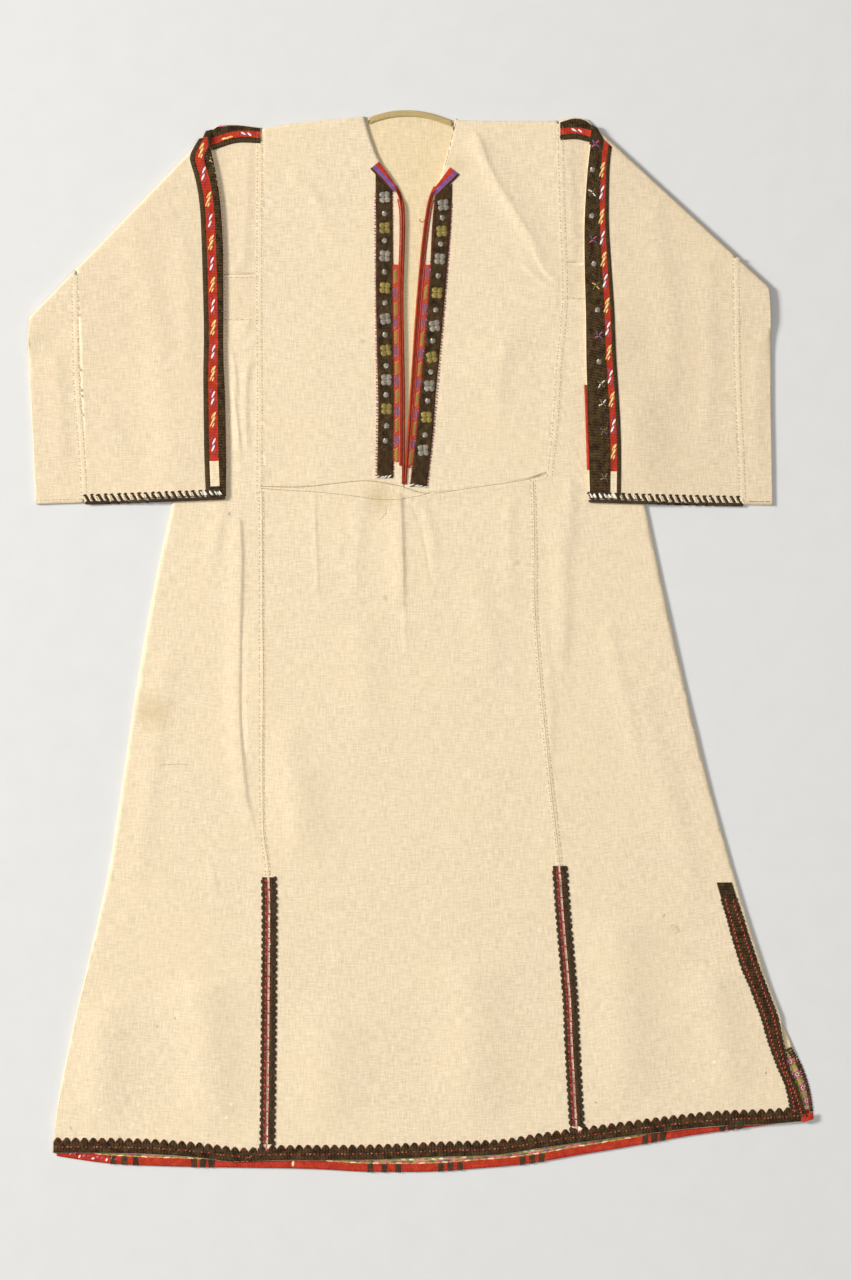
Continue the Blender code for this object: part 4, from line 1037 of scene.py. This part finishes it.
def sew_row(
    colour, line, across, pitch, length, start=0.0, end=None, turn=0.0, width=0.9, rise=0.5, uneven=0.5
):
    """Stitches along a line, a little uneven, turned from its heading."""
    along, k = start, 0
    while along < (line.length if end is None else end):
        shift = uneven * math.sin(2.7 * k + 5 * across)
        x, y, heading = line.at(along + shift, across + 0.4 * uneven * math.sin(1.9 * k + along))
        heading += turn + 7 * uneven * math.sin(3.3 * k)
        sew(colour, x, y, heading, length * (1 + 0.12 * math.sin(4.1 * k)), width, rise)
        along += pitch
        k += 1


def sew_chart(chart, x, y, lean=0.0):
    """Stitches of one motif; chart rows are (colour, dx, dy, heading, length, width)."""
    for colour, dx, dy, heading, length, width in chart:
        sew(colour, x + dx + lean * dy, y + dy, heading, length, width, 0.45)


def sew_dot(colour, x, y, size, turn):
    """A small round of metal thread: four stitches across each other."""
    for k in range(4):
        dx, dy = 0.2 * math.sin(2 * k + x), 0.2 * math.cos(3 * k + y)
        sew(colour, x + dx, y + dy, 45 * k + turn, size, 0.66 * size, 0.9 + 0.12 * k)


def sew_flower(colour, x, y, turn):
    """Four round petals with dark eyes, close about a dark middle."""
    for k in range(4):
        angle = math.radians(90 * k + 47 + turn)
        px, py = x + 3.9 * math.cos(angle), y + 4.2 * math.sin(angle)
        sew_dot(colour, px, py, 7.4, 31 * k + turn)
        sew("rust" if k % 2 else "brown", px + 0.3 * math.sin(k + y), py, 50 * k + turn, 2.0, 0.9, 1.5)
        gap = angle + 0.78
        sew("brown", x + 3.4 * math.cos(gap), y + 3.8 * math.sin(gap), 90 * k + 90, 3.0, 0.6, 1.3)


def sew_spangle(x, y, turn):
    """A dull metal round with one bright spot: a white stitch that paints the light's highlight on the metal."""
    sew_dot("silver", x, y, 6.6, turn)
    sew("brown", x + 0.6, y - 0.5, turn, 2.4, 1.2, 1.3)
    # painted highlight: a white stitch for the glint of light on the spangle's metal
    sew("white", x + 1.3 * math.cos(turn), y + (1.7 if turn > 0 else -1.6), 60 + turn, 2.8, 1.9, 1.5)


WHITE_MOTIF = [
    ("purple", -1.4, 7.2, 66, 5.6, 1.1),
    ("white", 0.9, 4.0, 66, 9.0, 2.2),
    ("purple", -0.2, 0.2, 66, 8.4, 1.2),
    ("white", -0.9, -4.0, 66, 9.0, 2.2),
    ("purple", 1.2, -7.4, 66, 5.6, 1.1),
]
YELLOW_MOTIF = [
    ("pale_yellow", 1.7, 6.4, 66, 6.6, 1.9),
    ("yellow", -0.4, 4.6, 66, 8.4, 1.9),
    ("ochre", 1.9, 0.9, 66, 7.2, 1.6),
    ("pale_yellow", 0.0, -0.4, 66, 9.0, 2.1),
    ("yellow", -1.9, -4.6, 66, 8.0, 2.0),
    ("pale_yellow", 0.3, -6.2, 66, 6.0, 1.7),
]
DASH_MOTIF = [("ochre", 0, dy, 42, 6.6, 1.7) for dy in (6.2, 3.1, 0, -3.1, -6.2)] + [
    ("green", 0, dy, 42, 6.0, 1.1) for dy in (4.6, 1.5, -1.6, -4.7)
]
BLOCK_MOTIF = [
    ("violet", dx, dy, 88, 5.6, 1.7) for dx in (-1.9, -0.1, 1.7) for dy in (2.6, -2.4)
] + [
    ("pink", 2.9, 3.4, 80, 4.2, 1.2),
    ("purple", -0.6, 4.6, 60, 3.0, 1.2),
    ("pink", -1.0, -5.6, 40, 3.4, 1.2),
]

# Motifs of the red stripes, as heights up the garment
LEFT_BAND_WHITE = (1147.7, 1093.7, 1044.2, 995.9, 943, 890, 836)
LEFT_BAND_YELLOW = (1174, 1118, 1068.4, 1020, 970.6, 917.7, 864.8)
RIGHT_BAND_WHITE = (1126, 1074, 1024.7, 969.5, 914.3, 858)
RIGHT_BAND_YELLOW = (1152, 1098, 1049, 996, 942, 888, 828)
for line, shift, lean, heights, chart in (
    (LEFT_BAND_EDGE, 11.0, -0.1, LEFT_BAND_WHITE, WHITE_MOTIF),
    (LEFT_BAND_EDGE, 11.0, 0.0, LEFT_BAND_YELLOW, YELLOW_MOTIF),
    (RIGHT_BAND_EDGE, -8.3, 0.0, RIGHT_BAND_WHITE, WHITE_MOTIF),
    (RIGHT_BAND_EDGE, -8.3, 0.0, RIGHT_BAND_YELLOW, YELLOW_MOTIF),
    (LEFT_PLACKET, 12.6, 0.0, (1030, 992.5, 960, 924.6, 892, 859, 825), DASH_MOTIF),
    (LEFT_PLACKET, 12.6, 0.0, (1011, 976.4, 944, 909.7, 875, 841), BLOCK_MOTIF),
    (RIGHT_PLACKET, -12.6, 0.1, (1012, 958, 923.5, 889, 854.5, 822), DASH_MOTIF),
    (RIGHT_PLACKET, -12.6, 0.1, (1034, 992.5, 976.4, 940.7, 906, 871.7, 837), BLOCK_MOTIF),
):
    for height in heights:
        sew_chart(chart, line.x_at(height) + shift, height, lean)

SHOULDER_WHITE = [
    ("white", -3.5, 0.8, -28, 7.0, 2.1),
    ("purple", 0.0, -0.4, -34, 5.0, 1.0),
    ("white", 3.4, -0.2, -38, 6.4, 2.1),
    ("purple", -5.8, -0.6, -30, 4.0, 1.0),
]
SHOULDER_YELLOW = [
    ("pale_yellow", -3.2, -0.8, 14, 6.4, 2.3),
    ("yellow", 1.2, 0.1, 30, 5.2, 2.3),
    ("yellow", 4.6, 1.2, 8, 5.6, 2.2),
]
sew_chart(SHOULDER_WHITE, -199.5, 1193.4)
sew_chart(SHOULDER_YELLOW, -222, 1189.2)
sew_chart(SHOULDER_WHITE, 180.6, 1197.4)
for dx, colour in ((-1.5, "pink"), (1.4, "pink"), (4.6, "silver")):
    sew(colour, -228 + dx, 1202.6, 10, 3.0, 2.2, 0.6)

# Metal flowers on the placket bands, with a spangle between them
FLOWERS = (
    (LEFT_PLACKET, 0.6, (1121, 1053.4, 981, 911), (1085.6, 1016.6, 945, 877.5)),
    (RIGHT_PLACKET, 0.4, (1112, 1050, 973, 904, 830), (1082, 1011, 937, 868)),
)
for line, shift, silver, gold in FLOWERS:
    for colour, heights in (("silver", silver), ("gold", gold)):
        for k, height in enumerate(heights):
            sew_flower(colour, line.x_at(height) + shift, height, (3, -6, 8, -2)[k % 4])
SPANGLES = (
    (LEFT_PLACKET, 0.4, (1102, 1071, 1035, 999.4, 962.6, 927, 893.6, 858, 840.7)),
    (RIGHT_PLACKET, 0.2, (1097, 1067, 1030.4, 991.3, 955.7, 920, 886.7, 847.6)),
    (RIGHT_BAND_EDGE, -19.5, (1152, 1099, 1044, 991, 931.5)),
)
for line, shift, heights in SPANGLES:
    for k, height in enumerate(heights):
        sew_spangle(line.x_at(height) + shift + 0.5 * math.sin(3 * k), height, (22, -18, 40, -35)[k % 4])

# Small scattered dots of colour on the right sleeve's band
TUFTS = (
    (1182, ("pink", "purple")), (1126, ("green", "white")), (1072, ("pink", "violet")), (1019, ("green", "yellow")),
    (962, ("pink", "purple")), (906, ("white", "green")), (884, ("white", "gold")), (852, ("gold", "violet")),
    (799, ("silver", "green")),
)
for row, (height, colours) in enumerate(TUFTS):
    x = RIGHT_BAND_EDGE.x_at(height) - 19
    for k in range(8):
        angle = math.radians(45 + 90 * k + 9 * math.sin(3 * row + k))
        far = 2.0 if k < 4 else 4.3
        sew(colours[k % 2], x + far * math.cos(angle), height + far * math.sin(angle), 45 + 90 * k, 2.7, 1.6, 0.7)
for k in range(46):
    height = 785 + 8.5 * k
    sew("brown", RIGHT_BAND_EDGE.x_at(height) - 19 + 5 * math.sin(2.3 * k), height, 70 * k, 2.0, 0.9, 0.3)
    if k % 3 == 0:
        sew("silver", LEFT_BAND_EDGE.x_at(height) + 21 + 2 * math.sin(5 * k), height, 50 * k, 1.0, 0.8, 0.3)

# Corded and overcast edges of the bands
for line, side in ((LEFT_BAND_EDGE, 1), (RIGHT_BAND_EDGE, -1)):
    sew_row("black_cord", line, -2.7 * side, 3.4, 5.4, 3, turn=58 * side, width=2.7, rise=0.55, uneven=0.2)
for line, side, end in ((LEFT_SHOULDER_EDGE, 1, 56), (RIGHT_SHOULDER_EDGE, -1, 32)):
    sew_row("black_cord", line, 3.0 * side, 3.2, 4.6, 1, end, turn=62 * side, width=2.5, uneven=0.2)
for line, across, colour in (
    (LEFT_PLACKET, -10.2, "plum"), (LEFT_PLACKET, 9.2, "dark_red"),
    (RIGHT_PLACKET, 10.2, "plum"), (RIGHT_PLACKET, -9.4, "dark_red"),
):
    sew_row(colour, line, across, 3.6, 3.4, 3, 330, turn=58, width=1.6, rise=0.6)
for line, side in ((SLIT_LEFT, -1), (SLIT_RIGHT, 1)):
    sew_row("red", line, 5.0 * side, 2.8, 3.9, 24, 330, width=1.7, rise=0.8, uneven=0.2)
    sew_row("dark_red", line, 2.0 * side, 2.6, 3.0, 3, 340, width=0.8, rise=0.5, uneven=0.3)
NECK_LOOP = Line((6.1, 1096), (4.4, 1093.2), (1.2, 1092.6), (-0.5, 1095.6))
sew_row("red", NECK_LOOP, 0, 1.6, 2.4, width=1.0, rise=0.7, uneven=0)
sew_row("red", LEFT_BAND_EDGE, -25.0, 4.6, 2.0, 60, 385, turn=30, width=0.9, rise=0.5)
sew_row("pale_yellow", LEFT_BAND_EDGE, -23.8, 6.4, 2.0, 4, 62, turn=30, width=0.9, rise=0.5)

# Skirt seam braids: lobed edges, and red stitches beside and over the pale seam
for line, end in ((LEFT_SEAM, 326), (RIGHT_SKIRT_SEAM, 318)):
    for sign in (-1, 1):
        sew_row("black", line, sign * 7.0 + 0.3, 7.4, 7.0, 20 + 1.5 * sign, end, width=4.6, rise=0.95, uneven=0.4)
    sew_row("black", line, 3.9, 5.2, 5.6, 22, end - 3, turn=20, width=2.4, rise=0.5)
    sew_row("red", line, -3.3, 9.4, 4.4, 22, end - 3, turn=52, width=2.2, rise=0.6)
    sew_row("dark_red", line, -3.5, 9.4, 4.6, 26.7, end - 3, turn=52, width=2.6, rise=0.6)
    sew_row("brown", line, -2.2, 6.3, 2.6, 25, end - 3, turn=40, width=1.1, rise=0.6)
    sew_row("red", line, 1.1, 5.7, 2.2, 24, end - 3, turn=-40, width=1.2, rise=0.5)
    sew_row("red", line, -0.8, 14.2, 5.0, 29, end - 3, turn=78, width=1.7, rise=0.8)

# Side braid: saw-toothed edges and two rows of red stitches
for line, sign in ((SIDE_BRAID_LEFT, 1), (SIDE_BRAID_RIGHT, -1)):
    sew_row("black", line, sign * 0.3, 5.2, 4.6, 2, 266, turn=16 * sign, width=2.6, rise=0.9)
    sew_row("red", line, sign * 4.6, 5.0, 3.0, 6, 264, turn=-30, width=1.7, rise=0.6)
    sew_row("dark_red", line, sign * 3.2, 5.0, 2.4, 8, 264, turn=20, width=1.3, rise=0.5)

# Hem braid: a red line along its middle and fine dark red edging round each point
for colour, pitch, start in (("red", 8.8, 4.0), ("dark_red", 8.8, 8.4), ("tan", 35.2, 17.2)):
    sew_row(colour, FRONT_HEM, -7.2, pitch, 2.4, start, 868, turn=8, width=1.7, rise=0.6, uneven=0.7)
for start_x, end_x in ((-421.5, -177.0), (-174.8, 182.0), (184.4, 438.0)):
    count = round((end_x - start_x) / 10.3)
    for k in range(count):
        for share, rise_share, slope in ((0.12, 0.35, 58), (0.5, 1.0, 0), (0.88, 0.35, -58)):
            x = start_x + (k + share) * (end_x - start_x) / count
            y = FRONT_HEM.y_at(x) + 12.6 + 5.0 * rise_share
            sew("dark_red" if (k + int(3 * share)) % 3 else "red", x, y, slope, 3.6, 0.9, 0.4)

# The hem braids' ends are caught together where the skirt seams end
for x in (-175.9, 183.2):
    y = FRONT_HEM.y_at(x)
    for k in range(4):
        sew("black", x + 0.4 * math.sin(3 * k), y + 2.2 + 2.6 * k, 4 * (-1) ** k, 7.0, 3.6, 0.6)
    sew("pink", x - 0.6, y + 13.0, 60, 4.0, 1.6, 1.2)
    sew("red", x + 1.4, y + 11.6, -40, 3.4, 1.5, 1.2)

# Black bars over the red hem binding, in threes
for middle, spread in ((-340, 13), (-250, 10), (-41, 16), (35, 11), (129, 11), (269, 10), (358, 10)):
    for dx in (-spread, 0, spread):
        for offset in (-2.7, -1.3, 0, 1.3, 2.7):
            x = middle + dx + offset
            sew("black", x, BACK_HEM.y_at(x) + 4.8, 90 + 3 * math.sin(x), 12.4, 2.2)
sew("pale_yellow", -146, 9.5, 84, 7.0, 3.0, 0.5)
for k in range(11):
    x = -402 + 5.2 * k
    y = BACK_HEM.y_at(x) + 5.4 + 1.5 * math.sin(2.2 * k)
    sew(("pink", "rose", "white")[k % 3], x, y, 40 + 25 * math.sin(k), 4.2, 2.0)

# Satin patches on the facing that shows between the front's hem and the binding
for k in range(96):
    along = 8 + 8.9 * k
    for colours, across, shift, length, width in (
        (("lime", "lime", "pale_yellow"), -10.0, 0.0, 9.6, 1.7),
        (("pink", "violet", "rose", "violet", "pink"), -12.0, 3.1, 8.0, 2.6),
        (("rose", "pale_yellow", "white", "pink"), -14.3, 5.3, 6.0, 1.9),
    ):
        x, y, heading = BACK_HEM.at(along + shift, across)
        if y + 0.4 * width < FRONT_HEM.y_at(x):
            colour = colours[(k + int(shift)) % len(colours)]
            sew(colour, x, y, heading + 5 * math.sin(k), length, width, 0.4)

# Rosettes on the side facing, with a dark edge beyond them
for k in range(26):
    x, y, heading = SIDE_EDGING.at(3.0 * k, 0.0)
    sew("black", x, y, heading + 90 + 9 * math.sin(3 * k), 4.4 + 0.19 * k, 3.8, 0.8)
sew_row("red", SIDE_EDGING, 0.4, 5.6, 2.6, 4, 74, turn=40, width=1.8, rise=1.4)
for x, y in ((425.8, 126.7), (434.0, 112.1), (440.4, 96.7), (444.6, 82.1)):
    for k in range(9):
        angle = math.radians(40 * k)
        px, py = x + 3.2 * math.cos(angle), y + 4.1 * math.sin(angle)
        sew(("rose", "pink")[k % 2], px, py, 40 * k + 60, 3.4, 2.4, 0.6)
    for k in range(5):
        angle = math.radians(72 * k + 20)
        sew("white", x + 1.7 * math.cos(angle), y + 2.0 * math.sin(angle), 72 * k + 110, 1.8, 1.1, 1.0)
    sew("rust", x, y, 40, 2.0, 1.5, 1.1)

# Needle holes along the felled seams, and the dark thread of the waist
for line, offsets, start, end in (
    (LEFT_SEAM, (-5.3, 0.1), 770, 1184),
    (LEFT_SEAM, (-3.2, 1.8), 330, 770),
    (RIGHT_SKIRT_SEAM, (-1.4, 3.8), 322, 768),
    (RIGHT_BODICE_SEAM, (-0.2, 5.2), 0, 404),
    (LEFT_STRIP_SEAM, (-3.2, 3.2), 4, 258),
    (RIGHT_STRIP_SEAM, (-3.2, 3.2), 4, 280),
):
    for across in offsets:
        sew_row("tan", line, across, 4.3, 2.4, start, end, turn=38, width=0.9, rise=0.25, uneven=0.9)
sew_row("tan", WAIST, -0.6, 4.0, 5.4, 2, 196, width=1.0, rise=0.35, uneven=0.3)
sew_row("tan", WAIST, -0.2, 4.4, 5.6, 204, 332, width=0.8, rise=0.3, uneven=0.3)
sew_row("tan", SKIRT_TOP, 0.0, 4.8, 5.6, width=0.7, rise=0.25, uneven=0.4)
sew_row("tan", LEFT_SEAM, 0.6, 4.6, 5.8, 330, 770, width=0.7, rise=0.25, uneven=0.4)
sew_row("tan", RIGHT_SKIRT_SEAM, 1.0, 4.6, 5.8, 322, 768, width=0.6, rise=0.25, uneven=0.4)
for line in (LEFT_GUSSET_TOP, LEFT_GUSSET_FOOT, RIGHT_GUSSET_FOOT):
    sew_row("tan", line, 1.3, 3.4, 2.4, 1, width=0.7, rise=0.3, uneven=0.9)
for line in (Line((-50, 798), (-41, 797.5), (-32, 799)), Line((-10, 789), (6, 786))):
    sew_row("white", line, -1.5, 4.6, 6.4, 1, turn=26, width=1.9, rise=1.6)
sew_row("brown", SLIT_RIGHT, 1.4, 4.4, 4.0, 374, 430, turn=12, width=0.5, rise=0.3, uneven=1.2)
for x, y, heading in ((-58.6, 1208, 70), (38.4, 1205, 110), (38.8, 1200, 95)):
    sew("brown", x, y, heading, 5.0, 2.0)

# Small marks of loose thread on the cloth
for points in (
    ((-297, 468), (-280, 469), (-264, 468)),
    ((287, 280), (290, 284), (294, 282), (298, 277), (293, 274)),
    ((-39.5, 765.5), (-38.8, 757.6), (-46.7, 749.7)),
):
    sew_row("tan", Line(*points), 0, 2.6, 3.2, width=0.5, rise=0.25, uneven=0.3)

# Black blanket stitch round the cuffs, cream over the bands
for line, start, end, band_start, band_end in ((LEFT_CUFF, 60, 219, 192, 219), (RIGHT_CUFF, 2, 178, 2, 34)):
    sew_row("black", line, 0.2, 2.8, 5.6, start, end, width=4.2, rise=1.0, uneven=0.2)
    sew_row("black", line, -4.6, 7.8, 11.6, start, end, turn=122, width=3.5, rise=1.2, uneven=0.5)
    sew_row("black", line, -8.8, 7.8, 5.0, start - 2.2, end, turn=10, width=2.6, rise=1.0, uneven=0.5)
    sew_row("cream", line, -4.6, 7.8, 6.2, start + 3.9, end, turn=120, width=2.2, rise=0.9, uneven=0.4)
    sew_row("white", line, -6.0, 5.6, 7.0, band_start, band_end, turn=124, width=2.8, rise=2.0, uneven=0.5)
sew_row("black", LEFT_CUFF, -3.0, 3.4, 4.2, 126, 219, width=1.5, rise=1.1, uneven=0.3)
sew_row("black", RIGHT_CUFF, -3.0, 3.4, 4.2, 2, 62, width=1.5, rise=1.1, uneven=0.3)
sew_row("tan", LEFT_CUFF, -4.4, 4.4, 3.2, 3, 58, width=0.7, rise=0.3)
sew_row("brown", RIGHT_CUFF, -3.6, 3.6, 3.6, 186, 211, width=1.0, rise=0.4)

# ---------------------------------------------------------------- laying the threads on the garment

pieces = {**cloth, **trims, **seams}
SURFACE = tree_over(pieces.values())


def surface_height(x, y):
    """Height of what lies uppermost at a place; narrow gaps of the seams are passed over."""
    return max(0.3, *[drop(SURFACE, x + dx, y + dy) for dx, dy in ((0, 0), (0.7, 0), (0, 0.7))])


# A stitch's eight points as shares of its length, width and rise
STITCH_POINTS = (
    (-0.5, 0, 0.05), (-0.24, -0.5, 0), (-0.24, 0, 1), (-0.24, 0.5, 0),
    (0.24, -0.5, 0), (0.24, 0, 1), (0.24, 0.5, 0), (0.5, 0, 0.05),
)
STITCH_FACES = (
    (0, 1, 2), (0, 2, 3), (1, 4, 5, 2), (2, 5, 6, 3), (7, 5, 4), (7, 6, 5), (0, 3, 1), (1, 3, 6, 4), (7, 4, 6),
)


def lay_stitches(name, stitches, material, slot):
    """Each stitch as a short padded thread, low at its ends."""
    points, faces = [], []
    for s in stitches:
        ux, uy = math.cos(math.radians(s.heading)), math.sin(math.radians(s.heading))
        start, middle = len(points), surface_height(s.x, s.y)
        ends = [surface_height(s.x + e * s.length * ux, s.y + e * s.length * uy) for e in (-0.4, 0.4)]
        for along, across, lift in STITCH_POINTS:
            x = s.x + along * s.length * ux - across * s.width * uy
            y = s.y + along * s.length * uy + across * s.width * ux
            base = ends[0] if along < 0 else ends[1]
            base = min(max(base, middle - 0.6), middle + 0.6) if abs(along) < 0.4 else base
            points.append((x, y, base + lift * s.rise - (0.02 if lift else 0.06)))
        faces += [tuple(start + i for i in f) for f in STITCH_FACES]
    return dress(link_mesh(name, points, faces, [p[:2] for p in points]), material, slot)


Yarn = namedtuple("Yarn", "dark light slot roughness metallic", defaults=("pattern_braid", 0.6, 0.0))
YARNS = {
    "cream": Yarn((0.62, 0.50, 0.32), (0.84, 0.72, 0.50), "cotton", 0.8),
    "white": Yarn((0.66, 0.62, 0.54), (0.92, 0.89, 0.82)),
    "tan": Yarn((0.25, 0.18, 0.085), (0.44, 0.34, 0.18), "cotton", 0.85),
    "rust": Yarn((0.10, 0.035, 0.015), (0.25, 0.10, 0.04), roughness=0.7),
    "ochre": Yarn((0.30, 0.18, 0.025), (0.58, 0.37, 0.08)),
    "violet": Yarn((0.075, 0.05, 0.10), (0.20, 0.135, 0.22)),
    "rose": Yarn((0.30, 0.03, 0.09), (0.60, 0.12, 0.22)),
    "lime": Yarn((0.26, 0.21, 0.03), (0.52, 0.45, 0.10)),
    "dark_red": Yarn((0.08, 0.010, 0.008), (0.26, 0.030, 0.018), "red_wool", 0.7),
    "black_cord": Yarn(BLACK, BROWN, "black_wool", 0.85),
    "brown": Yarn((0.07, 0.05, 0.02), (0.20, 0.14, 0.07), "black_wool", 0.8),
    "black": Yarn(BLACK, (0.080, 0.050, 0.022), "black_wool", 0.85),
    "plum": Yarn((0.15, 0.025, 0.04), (0.38, 0.075, 0.11), "red_wool"),
    "red": Yarn((0.34, 0.03, 0.02), (0.62, 0.08, 0.05), "red_wool"),
    "pink": Yarn((0.42, 0.07, 0.14), (0.72, 0.20, 0.30)),
    "purple": Yarn(PURPLE_DARK, PURPLE),
    "yellow": Yarn((0.55, 0.33, 0.05), (0.82, 0.56, 0.14)),
    "pale_yellow": Yarn((0.66, 0.50, 0.22), (0.90, 0.74, 0.40)),
    "green": Yarn((0.07, 0.07, 0.02), (0.20, 0.19, 0.05)),
    "silver": Yarn((0.035, 0.028, 0.02), (0.46, 0.41, 0.33), roughness=0.5, metallic=0.2),
    "gold": Yarn((0.05, 0.034, 0.008), (0.46, 0.34, 0.085), roughness=0.5, metallic=0.2),
}
YARN_NAMES = {"black_cord": "black_cord", "black": "black_yarn"}
for colour, stitches in sewn.items():
    yarn = YARNS[colour]
    material = thread(
        YARN_NAMES.get(colour, colour + "_thread"), yarn.dark, yarn.light, yarn.roughness, yarn.metallic
    )
    lay_stitches(colour + "_stitches", stitches, material, yarn.slot)

# ---------------------------------------------------------------- the fields of a row on what a cloth piece was cut from; no rows are given

Cut = namedtuple("Cut", "node width length share held rests_on trims")

# ---------------------------------------------------------------- floor, light and camera


def pale_floor():
    mesh = bpy.data.meshes.new("floor")
    corners = [(x, y, -0.0004) for x, y in ((-4, -4), (4, -4), (4, 4), (-4, 4))]
    mesh.from_pydata(corners, [], [(0, 1, 2, 3)])
    made = bpy.data.materials.new("pale_floor")
    made.use_nodes = True
    tree = made.node_tree
    shader = tree.nodes["Principled BSDF"]
    shader.inputs["Roughness"].default_value = 0.9
    grain = noise(tree, node(tree, "ShaderNodeTexCoord").outputs["Object"], 30.0, 3.0)
    tree.links.new(mix_colour(tree, grain, (0.60, 0.60, 0.59), (0.64, 0.64, 0.63)), shader.inputs["Base Color"])
    mesh.materials.append(made)
    add_object("floor", mesh)


def soft_light(name, place, size, power, colour):
    """A round soft light that points at the middle of the garment."""
    data = bpy.data.lights.new(name, "AREA")
    data.shape, data.size, data.energy, data.color = "DISK", size, power, colour
    obj = add_object(name, data)
    obj.location = place
    obj.rotation_euler = (-Vector(place)).to_track_quat("-Z", "Y").to_euler()


pale_floor()
soft_light("window_side", (-7.0, 1.8, 4.0), 2.2, 1010, (1.0, 0.98, 0.95))
soft_light("overhead", (0.6, -0.6, 3.4), 2.2, 30, (1.0, 0.99, 0.98))
world = bpy.data.worlds.new("studio")
world.use_nodes = True
world.node_tree.nodes["Background"].inputs["Color"].default_value = (1, 1, 1, 1)
world.node_tree.nodes["Background"].inputs["Strength"].default_value = 0.325
bpy.context.scene.world = world
bpy.context.scene.view_settings.view_transform = "Standard"

camera_data = bpy.data.cameras.new("overhead_camera")
camera_data.lens, camera_data.sensor_width, camera_data.clip_end = 100, 36, 50
camera = add_object("overhead_camera", camera_data)
camera.location = (0.0061, 0.0013, 4.092)
bpy.context.scene.camera = camera
